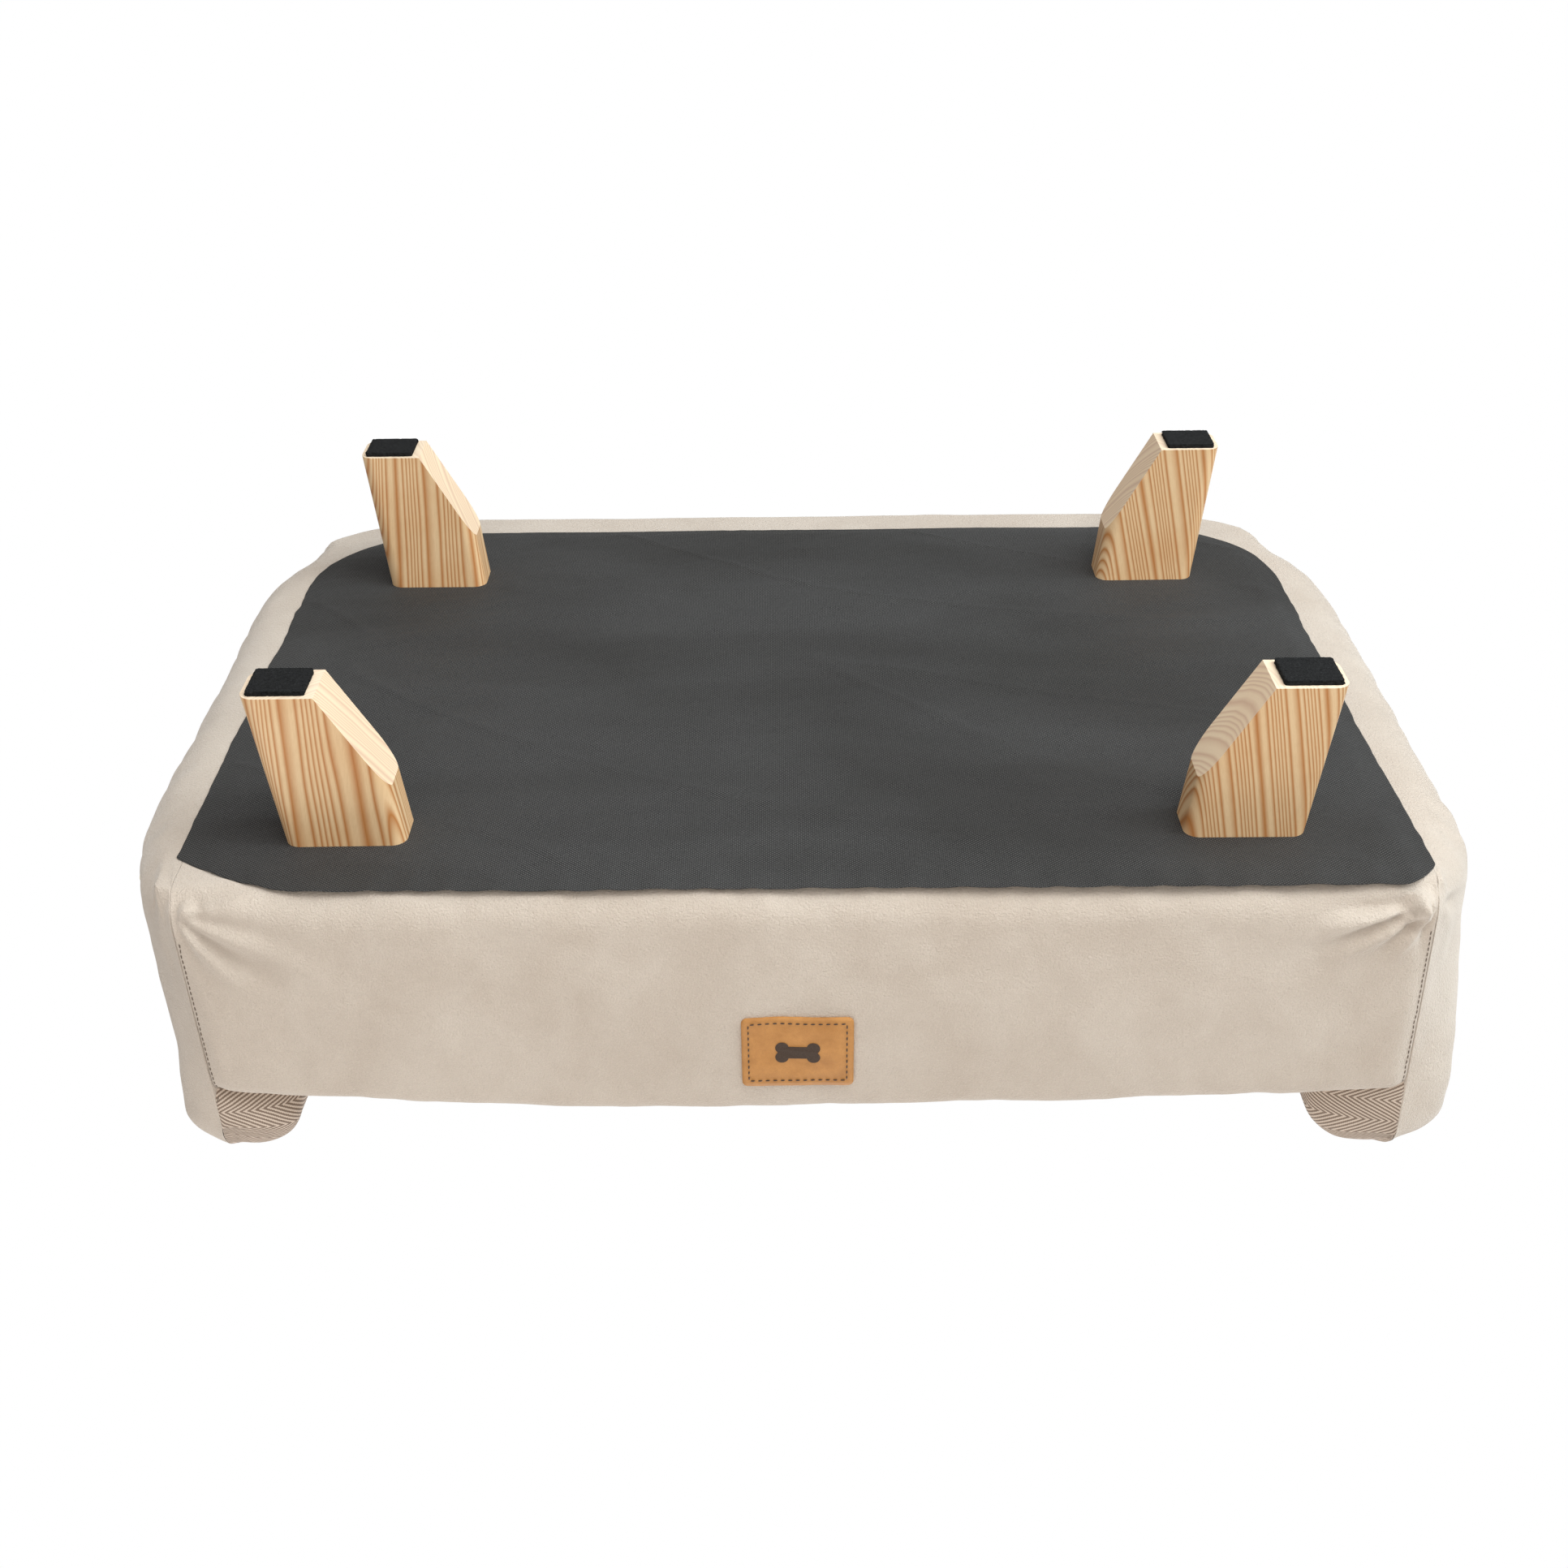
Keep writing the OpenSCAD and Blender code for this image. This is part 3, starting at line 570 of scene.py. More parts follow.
def fibreFinish(name, dark, light, scale, depth=0.0006, strength=0.8, sheen=0.25):
    material, tree, shader = newMaterial(name, Roughness=0.95, Sheen_Weight=sheen,
                                         Specular_IOR_Level=0.15)
    vector = objectCoords(tree)
    loose = noiseAt(tree, vector, scale, 5.0, 0.72, 2.0)
    wire(tree, ramp(tree, loose, (0.35, dark), (0.72, light)), shader["Base Color"])
    bump(tree, loose, strength, depth, shader)
    return material


def metalFinish(name, colour, roughness):
    material, tree, shader = newMaterial(name, Metallic=1.0)
    vector = objectCoords(tree)
    cloud = noiseAt(tree, vector, 260.0, 4.0, 0.6)
    dull = tuple(0.72 * c for c in colour)
    wire(tree, ramp(tree, cloud, (0.3, dull), (0.7, colour)), shader["Base Color"])
    wire(tree, span(tree, cloud, 0.3, 0.7, roughness + 0.12, roughness), shader["Roughness"])
    bump(tree, noiseAt(tree, vector, 2200.0, 2.0), 0.15, 0.0001, shader)
    return material


velvet = velvetFinish("velvet", (0.54, 0.45, 0.367), (0.602, 0.514, 0.428))
herringbone = herringboneFinish("herringbone", (0.215, 0.15, 0.105), (0.64, 0.51, 0.405))
blackCloth = spunbondFinish("blackCloth", (0.0056, 0.0053, 0.0050), (0.116, 0.111, 0.105))
felt = fibreFinish("felt", (0.002, 0.002, 0.002), (0.042, 0.042, 0.042), 640.0, 0.0016, 1.0, 0.0)
foam = fibreFinish("foam", (0.72, 0.64, 0.42), (0.86, 0.80, 0.60), 500.0)
wadding = fibreFinish("wadding", (0.78, 0.77, 0.74), (0.90, 0.89, 0.86), 160.0, 0.002)
zinc = metalFinish("zinc", (0.62, 0.63, 0.66), 0.34)
zipMetal = metalFinish("zipMetal", (0.44, 0.39, 0.31), 0.30)
alongX = (0, math.pi / 2, 0)
framePine = pineFinish("framePine", (0, 0.09, 0), alongX, 0.0042, 0.008)
hardboard = fibreFinish("hardboard", (0.16, 0.095, 0.05), (0.30, 0.19, 0.11), 700.0, 0.0003, 0.4)
plywood = pineFinish("plywood", (0, 0, 0.12), alongX, 0.006, 0.012,
                     (0.70, 0.52, 0.33), (0.50, 0.33, 0.18))
tapeCloth = fibreFinish("tapeCloth", (0.34, 0.275, 0.21), (0.50, 0.42, 0.335), 1500.0)
coilPlastic = fibreFinish("coilPlastic", (0.33, 0.265, 0.2), (0.42, 0.35, 0.27), 800.0, 0.0001, 0.3)
thread = fibreFinish("thread", (0.035, 0.02, 0.012), (0.09, 0.055, 0.035), 1800.0, 0.0002)
seamThread = fibreFinish("seamThread", (0.09, 0.065, 0.045), (0.22, 0.17, 0.125), 1800.0, 0.0002)
print("finishes made")


# CAD pieces that keep their shape
kept = (
    (plywood, ("base_board",)),
    (framePine, ("front_rail", "front_post_left", "front_post_right",
                 "sill_left", "sill_right", "sill_back")),
    (hardboard, ("wall_panel",)),
    (zinc, ("rail_screws", "panel_staples", "tee_nuts", "hanger_bolts")),
    (tapeCloth, ("zip_tape",)),
    (zipMetal, ("zip_stops", "zip_slider", "zip_pull")),
)


def setFinish(piece, material):
    piece.data.materials.clear()
    piece.data.materials.append(material)


for material, nodeNames in kept:
    for nodeName in nodeNames:
        setFinish(nodes[nodeName], material)

# Each leg is cut from another stretch of board, so its rings lie another way
legCuts = {
    "leg_front_left": {"heart": (0.085, 0.150), "turn": 8.0, "lean": (-7.4, -3.1)},
    "leg_front_right": {"heart": (-0.105, 0.045), "turn": -10.0, "lean": (11.0, -3.1)},
    "leg_rear_left": {"heart": (0.115, -0.040), "turn": 12.0, "lean": (-7.4, 3.1)},
    "leg_rear_right": {"heart": (-0.090, 0.085), "turn": -6.0, "lean": (7.4, 3.1)},
}
for nodeName, cut in legCuts.items():
    leanX, leanY = (math.radians(a) for a in cut["lean"])
    turn = Euler((leanY, leanX, math.radians(cut["turn"])))
    centre = turn.to_matrix() @ (sum(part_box(nodeName), Vector()) / 2)
    shift = (cut["heart"][0] - centre.x, cut["heart"][1] - centre.y, 0)
    setFinish(nodes[nodeName], pineFinish(nodeName + "Pine", shift, tuple(turn)))
print("legs and frame finished")


def foldFan(a, b, folds):
    # folds that fan out from a point, in the plane of two of the axes:
    # each has its angle, width, height and length
    r = math.hypot(a, b)
    angle = math.degrees(math.atan2(b, a))
    total = 0.0
    for at, width, height, length in folds:
        off = (angle - at + 180) % 360 - 180
        fade = smooth(r, 0.0, 0.012) * (1 - smooth(r, length * 0.35, length))
        total += height * bell(off, 0, width) * fade
    return total


def softness(p, size, depth):
    return noise.fractal(p * size, 0.6, 2.0, 3) * depth


velvetFolds = {
    "frontCorner": [(80, 9, 0.0026, 0.060), (50, 8, -0.0028, 0.055), (28, 7, 0.0030, 0.070),
                    (108, 9, -0.0022, 0.050)],
    "rightShare": 1.0,       # how deep these are on each arm
    "leftShare": 0.7,
    "rearDepth": 0.0009,     # gathers where the velvet is pulled under the rounded back corners
    "rearWidth": 0.021,      # distance between two of them
    "sideDepth": 0.0005,     # the same along the arms
    "sideWidth": 0.033,
    "seamDip": 0.0020,       # how far the cloth sinks in at a seam
    "seamWidth": 0.0045,
}


def coverRelief(p):
    # soft unevenness, and the folds where the velvet is pulled under the bed
    v = velvetFolds
    side = -1 if p.x < 0 else 1
    move = softness(p, 14.0, 0.0016) + softness(p, 45.0, 0.0005)
    low = 1 - smooth(p.z, underZ + 0.012, underZ + 0.075)
    if p.y > cornerY - 0.02:
        angle = math.atan2(p.y - cornerY, abs(p.x) - wall["wellX"] + wall["wellR"])
        around = angle * (wall["footU"] + wall["wellR"])
        corner = smooth(angle, -0.15, 0.25) * (1 - smooth(angle, 1.3, 1.75))
        wave = math.sin(around / v["rearWidth"] * math.tau + 2.2 * waves(around * 30, side))
        move += v["rearDepth"] * wave * low * corner * smooth(p.z, underZ - 0.001, underZ + 0.008)
    else:
        ripple = math.sin(p.y / v["sideWidth"] * math.tau + 3.0 * waves(p.y * 20, side, 3))
        move += v["sideDepth"] * ripple * low
    away = p.y - frontY
    if away < 0.12:
        share = v["rightShare"] if side < 0 else v["leftShare"]
        move += share * foldFan(away, p.z - underZ - 0.010, v["frontCorner"])
    return move


def armShape(side, u, y, z):
    # how far out the padding stands at a place on an arm, u outwards from the well
    outer = smooth(u, 0.047, 0.060)        # 1 on the outer side, 0 within
    belowTop = wall["armTop"] - z
    out = wall["shoulder"][side] * smooth(z, 0.16, 0.27)
    out += wall["square"][side] * bell(belowTop, 0.014, 0.014)
    out -= wall["waist"][side] * bell(belowTop, 0.070, 0.030)
    out = out * outer + wall["outward"][side] * smooth(z, 0.12, 0.25)
    return out * (1 - smooth(y, cornerY - wall["riseRun"], cornerY))


def wallGrid(line, seamLine, hemSide, runAt, steep, reliefAt):
    # one cloth of the wall: every column is a section, drawn in to the front seam at the arms' ends
    places = wallColumns()
    rows = wall["rows"]
    sections = {}
    y0 = frontY + wall["seamY"]
    points, runs = [], [0.0]
    for side, zone, at in places:
        ring = []
        y = y0 + at if zone in ("hem", "end") else at
        top = backTop if zone in ("corner", "back") else topAt(y)
        if top not in sections:
            sections[top] = evenly(line(top), rows)[0]
        full = 1 + wall["fullness"].get(side, 0.0) * (1 - smooth(at / 90) if zone == "corner" else 1)
        for j, (u, z) in enumerate(sections[top]):
            t = j / rows
            if zone in ("hem", "end", "arm"):
                u = u * full + armShape(side, u, y, z)
                z += wall["crest"][side] * smooth(z, 0.20, 0.28) * (1 - smooth(y, -0.1, 0.05))
            else:
                u *= full
            if zone == "hem":
                seam = seamLine(side, t)
                inside = wall["hemUp"] * (1 - smooth(seam.z, underZ, underZ + 0.010))
                inward, back = wall["hem"]
                ring.append((seam + Vector((side * hemSide * inward, back, inside)), t, -1))
            elif zone == "end":
                seam = seamLine(side, t)
                reach = wall["endRun"] + y0
                yHere = seam.y + at * (reach - seam.y) / wall["endRun"]
                w = min(1.0, (yHere - seam.y) / runAt(side, t, z))
                p = seam.lerp(Vector((side * (wall["wellX"] + u), 0, z)), 1 - (1 - w) ** steep(t))
                p.y = yHere
                ring.append((p, t, w))
            elif zone == "arm":
                ring.append((Vector((side * (wall["wellX"] + u), at, z)), t, 1))
            elif zone == "corner":
                a = math.radians(at)
                r = wall["wellR"] + u
                x = wall["wellX"] - wall["wellR"] + r * math.cos(a)
                ring.append((Vector((side * x, cornerY + r * math.sin(a), z)), t, 1))
            else:
                ring.append((Vector((at, wall["wellY"] + u, z)), t, 1))
        points.append(ring)
    middle = rows // 2
    for before, after in zip(points, points[1:]):
        runs.append(runs[-1] + (after[middle][0] - before[middle][0]).length)
    heights = []
    for ring in points:
        total, height = 0.0, [0.0]
        for (p, _, _), (q, _, _) in zip(ring[::-1], ring[-2::-1]):
            total += (q - p).length
            height.append(total)
        heights.append(height[::-1])

    marks = {}

    def place(i, j):
        p, t, w = points[i][j]
        marks[(round(runs[i], 6), round(heights[i][j], 6))] = (t, w)
        return p, (runs[i], heights[i][j])

    def relief(p, cloth):
        return reliefAt(p, *marks[(round(cloth[0], 6), round(cloth[1], 6))])

    return clothGrid(len(places) - 1, rows, place, relief)


def onTopSeam(t):
    sectionLength = 0.16
    return bell(t * sectionLength, 0, velvetFolds["seamWidth"])


def offFrontSeam(w):
    return smooth(w, 0.02, 0.16)


def sewPadded(name, bm, material, slotName, nodeName):
    piece = softened(makeObject(name, bm, material))
    standFor(piece, "sofa", slotName, nodeName)
    return piece


def makeWall():
    def topSeam(side):
        return wall["armTop"] - wall["seamHigh"][side] + wall["crest"][side]

    def coverSeam(side, t):
        return cornerSeam(side, t, topSeam(side))

    def liningSeam(side, t):
        seam = frontSeam(side, topSeam(side) + (tuckZ - topSeam(side)) * t ** 1.6)
        seam.y += 0.006 * smooth(apronHigh.z - seam.z, 0.004, 0.020)
        return seam

    def coverRun(side, t, z):
        foot, top = wall["footRun"][side], wall["topRun"][side]
        return foot + (top - foot) * smooth(z, underZ + 0.032, wall["armTop"] - 0.025) ** 0.7

    def liningRun(side, t, z):
        return wall["topRun"][side] + wall["innerRun"][side] * smooth(t, 0, 0.35)

    def coverShape(p, t, w):
        seam = onTopSeam(1 - t)
        under = smooth(p.z, underZ + 0.0008, underZ + 0.004)
        move = coverRelief(p) * under
        return (move * (1 - seam) - velvetFolds["seamDip"] * seam) * offFrontSeam(w)

    def liningShape(p, t, w):
        seam = onTopSeam(t)
        move = softness(p + Vector((3, 1, 0)), 16.0, 0.0014)
        return (move * (1 - seam) - velvetFolds["seamDip"] * seam) * offFrontSeam(w)

    def coverSteep(t):
        return 2.0

    def liningSteep(t):
        return 2.0 + 1.8 * smooth(t, 0, 0.3)

    bm = wallGrid(outerLine, coverSeam, -1, coverRun, coverSteep, coverShape)
    cover = sewPadded("wallCover", bm, velvet, "velvet", "outer_cover")
    bm = wallGrid(innerLine, liningSeam, 1, liningRun, liningSteep, liningShape)
    lining = sewPadded("wallLining", bm, herringbone, "herringbone", "inner_lining")
    return cover, lining


apron = {
    "columns": 280,
    "rows": 84,
    "footRoll": 0.022,
    "topRoll": 0.012,
    "bulge": 0.006,          # how far the middle stands forward of the ends
    "tuckIn": 0.062,         # how far it reaches under the dust cover
    "edgeLift": 0.0045,      # the top edge rises in its middle, and falls towards each end
    "edgeDrop": {-1: -0.0035, 1: -0.0095},
    "edgeCurve": {-1: 1.4, 1: 2.2},
    "folds": {
        -1: [(-14, 6, 0.0036, 0.085), (3, 4, -0.0056, 0.080), (14, 4, 0.0060, 0.090),
             (23, 3.5, -0.0064, 0.080), (33, 4, 0.0060, 0.075), (45, 4, -0.0054, 0.055),
             (58, 5, 0.0044, 0.050), (76, 6, -0.0036, 0.040)],
        1: [(-4, 7, 0.0026, 0.070), (12, 6, -0.0026, 0.080), (25, 6, 0.0034, 0.100),
            (40, 7, -0.0036, 0.090), (55, 7, 0.0032, 0.080), (72, 8, -0.0022, 0.060)],
    },
    "knot": {-1: (0.0095, 0.0100, 0.0062, 0.0066),      # the bunched cloth in each lower corner:
             1: (0.0100, 0.0060, 0.0040, 0.0030)},      # how far in, how far up, its size and height
    "footWaves": 0.0011,     # unevenness along the lower edge
}


def apronLine():
    roll, crest = apron["footRoll"], apron["topRoll"]
    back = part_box("front_rail")[1].y + 0.002
    top = apronHigh.z
    return ([(frontY + apron["tuckIn"], underZ)]
            + arcPoints(frontY + roll, underZ + roll, roll, 270, 180)
            + arcPoints(frontY + crest, top - crest, crest, 180, 90)
            + arcPoints(back - 0.007, top - 0.007, 0.007, 90, 0, 8)
            + [(back, tuckZ)])


def makeApron():
    columns, rows = apron["columns"], apron["rows"]
    line, length = evenly(apronLine(), rows)

    def place(i, j):
        y, z = line[j]
        a = min(1.0, max(-1.0, (i - 1) / (columns - 2) * 2 - 1))
        a = math.sin(a * math.pi / 2) * 0.6 + a * 0.4
        side = -1 if a < 0 else 1
        seam = frontSeam(side, z)
        x = abs(a) * seam.x
        if i in (0, columns):
            inward, back = wall["hem"]
            inside = z + wall["hemUp"] * (1 - smooth(z, underZ, underZ + 0.010))
            hemmed = Vector((seam.x - side * inward * 1.5, max(y, seam.y) + back, inside))
            return hemmed, (x, length * j / rows)
        front = 1 - smooth(y, frontY + 0.008, frontY + 0.030)
        away = abs(seam.x) - abs(x)
        tuck = wall["seamY"] * bell(away, 0, 0.0065)
        upwards = math.sin(math.pi * smooth(z, underZ, apronHigh.z + 0.03))
        bulge = apron["bulge"] * (1 - abs(a) ** 3) * upwards
        high = smooth(z, underZ + 0.05, apronHigh.z - 0.01)
        drop = (apron["edgeLift"] - apron["edgeDrop"][side]) * abs(a) ** apron["edgeCurve"][side]
        lift = (apron["edgeLift"] - drop) * high
        return Vector((x, y - bulge * front + tuck, z + lift)), (x, length * j / rows)

    def relief(p, cloth):
        side = -1 if p.x < 0 else 1
        seam = frontSeam(side, p.z)
        away = abs(seam.x) - abs(p.x)
        move = softness(p, 11.0, 0.0016) + softness(p, 38.0, 0.0005)
        up = p.z - underZ - 0.004
        if p.y < frontY + 0.06 and p.z < apronHigh.z - 0.02:
            move += foldFan(away, up - 0.006, apron["folds"][side])
            knotAway, knotUp, knotSize, knotHeight = apron["knot"][side]
            near = math.hypot(away - knotAway, up - knotUp) / knotSize
            move += knotHeight * (bell(near, 0, 1) - 0.45 * bell(near, 1.9, 0.7906))
            low = 1 - smooth(p.z, underZ + 0.002, underZ + 0.045)
            move += apron["footWaves"] * low * (waves(p.x * 30, 5) + 0.4 * waves(p.x * 75, 9))
        under = smooth(p.z, underZ + 0.0006, underZ + 0.003)
        return move * under * (1 - bell(away, 0, 0.004))

    bm = clothGrid(columns, rows, place, relief)
    return sewPadded("apronCover", bm, velvet, "velvet", "apron_cover")


apronCover = makeApron()
print("apron covered:", len(apronCover.data.polygons), "faces")
wallCover, wallLining = makeWall()
print("walls covered:", len(wallCover.data.polygons), "and", len(wallLining.data.polygons), "faces")


innerFoam = {
    "drawnIn": 0.006,        # how far inside its cover the walls' foam lies
    "share": 0.3,            # but no more than this share of its thickness
    "round": 0.006,          # the front blocks' edges
}


def layFoam(name, bm, nodeName):
    piece = makeObject(name, bm, foam)
    standFor(piece, "sofa", "foam", nodeName)


def makeWallFoam():
    # the wall's foam again, a little smaller than its cover, and drawn in less where it is thin
    bm = fromMesh(nodes["wall_foam"].data)
    bmesh.ops.remove_doubles(bm, verts=bm.verts[:], dist=0.00005)
    bmesh.ops.recalc_face_normals(bm, faces=bm.faces[:])
    tree = BVHTree.FromBMesh(bm)

    def inwards(v):
        across = tree.ray_cast(v.co - v.normal * 0.0003, -v.normal)[3] or 0.02
        return -min(innerFoam["drawnIn"], innerFoam["share"] * across)

    pushOut(bm, inwards)
    for v in bm.verts:
        if v.co.y < cornerY and abs(v.co.x) > wall["wellX"] - 0.002:
            # the arms' padding stands out as their cloths do
            side = -1 if v.co.x < 0 else 1
            u = abs(v.co.x) - wall["wellX"]
            full = u * (1 + wall["fullness"][side])
            v.co.x = side * (wall["wellX"] + full + armShape(side, u, v.co.y, v.co.z))
    layFoam("wallFoam", bm, "wall_foam")


def makeFrontFoam():
    # a slab in front of the rail and a block in each arm's end, all with rounded edges
    low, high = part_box("front_rail")
    end = abs(wall["seamTop"][1]) - 0.006
    y0, y1 = frontY + 0.012, low.y - 0.0005
    blocks = [((-end, y0, underZ + 0.008), (end, y1, apronHigh.z - 0.016))]
    for side in (-1, 1):
        x = sorted((side * (wall["wellX"] + 0.018), side * end))
        blocks.append(((x[0], frontY + 0.026, apronHigh.z - 0.015),
                       (x[1], high.y, wall["armTop"] - 0.022)))
    bm = bmesh.new()
    for a, b in blocks:
        made = addBlock(bm, a, b)
        roundOff(bm, list({e for v in made for e in v.link_edges}), innerFoam["round"])
    layFoam("frontFoam", bm, "front_foam")


thinCloth = 0.0006                     # the black cloth's thickness

seat = {
    "columns": 70,
    "rows": 50,
    "dip": 0.0045,           # how far the cloth's rim lies below its middle
    "rim": 0.030,            # and how wide that rim is
    "foamDown": 0.0055,      # the foam's top lies this far below its place
    "foamRound": 0.006,
    "gap": 0.0006,           # room round the cloth
    "turnedIn": 0.004,       # cloth turned in, over both edges
}


def stretchCloth(name, bm, nodeName):
    # a thin black sheet, held tight over what it rests on
    area = sum(f.calc_area() for f in bm.faces)
    piece = softened(makeObject(name, bm, blackCloth), thinCloth)
    standFor(piece, "sofa", "black_nonwoven", nodeName)


def makeSeat():
    # the foam block, and the thin cloth drawn down round its edges
    low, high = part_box("seat_foam")
    bm = bmesh.new()
    top = high.z - seat["foamDown"]
    addBlock(bm, low + Vector((0.001, 0.001, 0)), Vector((high.x - 0.001, high.y - 0.001, top)))
    upright = [e for e in bm.edges if e.calc_length() < (top - low.z) * 1.01 and e.verts[0].co.y > 0]
    roundOff(bm, upright, wall["wellR"], 8)
    roundOff(bm, [e for e in bm.edges if min(v.co.z for v in e.verts) > top - 0.001], seat["foamRound"])
    layFoam("seatFoam", bm, "seat_foam")

    half = Vector((deckHigh.x - seat["gap"], (deckHigh.y - deckLow.y) / 2 - seat["gap"], 0))
    middleY = (deckLow.y + deckHigh.y) / 2
    corner = wall["wellR"]

    def place(i, j):
        a, b = i / seat["columns"] * 2 - 1, j / seat["rows"] * 2 - 1
        x, y = a * half.x, b * half.y
        if y > 0:
            x, y = roundedCorner(x, y, half, corner)
        inside = min(half.x - abs(x), half.y - abs(y))
        dx, dy = abs(x) - half.x + corner, y - half.y + corner
        if dx > 0 and dy > 0:
            inside = corner - math.hypot(dx, dy)
        dip = seat["dip"] * (1 - smooth(inside, 0.0, seat["rim"]))
        uneven = 0.0005 + 0.0007 * noise.fractal(Vector((x * 8, y * 8, 5)), 0.5, 2.0, 3)
        return Vector((x, middleY + y, deckHigh.z - 0.0002 - dip - max(0.0, uneven))), (x, y)

    bm = clothGrid(seat["columns"], seat["rows"], place)
    stretchCloth("deckCloth", bm, "deck_cloth")


makeWallFoam()
makeFrontFoam()
makeSeat()
print("foam cut")


dust = {
    "columns": 200,
    "rows": 160,
    "corner": 0.100,         # rounding of its back corners
    "sag": 0.0020,           # how far it hangs between the legs
    "hem": 0.0018,           # waviness of its edge
    "crease": 0.0016,        # broad unevenness, and the sharp folds in it
    "fold": 0.0012,
    "pucker": 0.0008,        # small gathers along the front edge, and their width
    "puckerWidth": 0.0045,
    "frontEdge": -0.2778,
    "frontSkew": 0.0023,     # its left end lies that much further back
    "frontCut": {-1: (0.024, 0.022),        # each front corner is cut back:
                 1: (0.085, 0.038)},        # how long the cut is, and how deep
    "sideX": {-1: 0.364, 1: 0.358},         # where its sides lie, and how they bow
    "sideBow": {-1: -0.002, 1: 0.001},
    "turnedIn": 0.002,       # cloth turned in, over both edges
}


def makeDustCover():
    columns, rows = dust["columns"], dust["rows"]
    backEdge = dustHigh.y + 0.001
    turnY = backEdge - dust["corner"]
    legs = [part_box(n) for n in legCuts]

    def halfWidth(side, y):
        bow = smooth(y, dust["frontEdge"], dust["frontEdge"] + 0.2)
        x = dust["sideX"][side] + dust["sideBow"][side] * bow
        if y <= turnY:
            return x
        return x - dust["corner"] + math.sqrt(max(0.0, dust["corner"] ** 2 - (y - turnY) ** 2))

    def frontAt(side, a):
        length, depth = dust["frontCut"][side]
        away = (1 - abs(a)) * dust["sideX"][side]
        return dust["frontEdge"] + dust["frontSkew"] * a + depth * max(0.0, 1 - away / length) ** 1.8

    def place(i, j):
        a = i / columns * 2 - 1
        side = -1 if a < 0 else 1
        b = math.sin(j / rows * math.pi / 2) * 0.5 + j / rows * 0.5
        front = frontAt(side, a)
        y = front + (backEdge - front) * b
        x = a * halfWidth(side, y)
        rimX = smooth(abs(a), 0.95, 1.0)
        rimY = max(1 - smooth(b, 0.0, 0.09), smooth(b, 0.97, 1.0))
        wavyX = waves(y * 26, side) + 0.5 * waves(y * 90, side, 7)
        wavyY = waves(x * 11, 3 if b > 0.5 else 4) + 0.35 * waves(x * 120, 5, 1)
        x += dust["hem"] * wavyX * rimX * side
        y += dust["hem"] * wavyY * rimY
        sag = dust["sag"] * (1 - rimX) * (1 - rimY)
        for low, high in legs:
            gap = max(low.x - x, x - high.x, low.y - y, y - high.y, 0.0)
            sag *= smooth(gap, -0.002, 0.034) if gap > 0 else 0.0
        slanting = Vector((x * 7 + y * 14, y * 5 - x * 3, 0.5))
        crease = dust["crease"] * noise.fractal(slanting, 0.5, 2.0, 4)
        crease -= dust["fold"] * bell(waves(x * 5 - y * 9, x * 2 + y * 3, 6.5), 0, 0.035)
        crease *= (1 - rimX) * (1 - rimY) * smooth(sag, 0.0, dust["sag"] * 0.8)
        gathers = math.sin(x / dust["puckerWidth"] + 4 * waves(x * 14, 0, 2))
        gathers *= 1 - smooth(b, 0.0, 0.06)
        z = underZ - 0.0010 - sag * (0.75 + 0.5 * waves(x * 6, y * 6, 2)) + crease
        z += dust["pucker"] * gathers * (1 - rimX) + 0.0003 * max(rimX, rimY)
        return Vector((x, y, min(z, underZ - 0.0006))), (x, y)

    bm = clothGrid(columns, rows, place)
    bmesh.ops.reverse_faces(bm, faces=bm.faces[:])
    stretchCloth("dustCover", bm, "dust_cover")


makeDustCover()
print("dust cover laid")


pads = {
    "round": 0.0016,
    "cuts": (26, 26, 4),     # along x, y and z, so that the surface can be roughened
    "fluff": 0.00080,
}


def makeFelt(nodeName):
    low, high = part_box(nodeName)
    bm = bmesh.new()
    addBlock(bm, low, high)
    upright = [e for e in bm.edges if abs(e.verts[0].co.z - e.verts[1].co.z) > (high.z - low.z) / 2]
    roundOff(bm, upright, pads["round"])
    for axis, count in enumerate(pads["cuts"]):
        across = Vector([float(k == axis) for k in range(3)])
        for i in range(1, count):
            bmesh.ops.bisect_plane(bm, geom=bm.verts[:] + bm.edges[:] + bm.faces[:],
                                   plane_co=low.lerp(high, i / count), plane_no=across)
    bm.normal_update()

    def fluff(v):
        rough = noise.noise(v.co * 900) + 0.6 * noise.noise(v.co * 2300)
        free = smooth(v.co.z, low.z, low.z + 0.0006) * (1 - smooth(v.co.z, high.z - 0.0006, high.z))
        return pads["fluff"] * rough * (0.4 + free)

    standing = [(v, v.co.z) for v in bm.verts if v.co.z < low.z + 0.0004]
    pushOut(bm, fluff)
    for v, z in standing:
        v.co.z = max(z, v.co.z)
    shadeSmooth(bm)
    standFor(makeObject(nodeName + "Pad", bm, felt), "sofa", "felt", nodeName)


for place in ("front_left", "front_right", "rear_left", "rear_right"):
    makeFelt("felt_" + place)
print("felt pads made")


label = {
    "round": 0.0035,
    "thick": 0.0013,
    "gap": 0.0002,           # between the label and the velvet
    "stitchInset": 0.0040,
    "stitchLength": 0.0026,
    "stitchGap": 0.0017,
    "stitchRadius": 0.00042,
    "stitchDip": 0.0004,     # how far the stitches draw the label in, and how widely
    "stitchSpread": 0.0012247,
    "motif": 0.026,          # length of the bone on the label
}


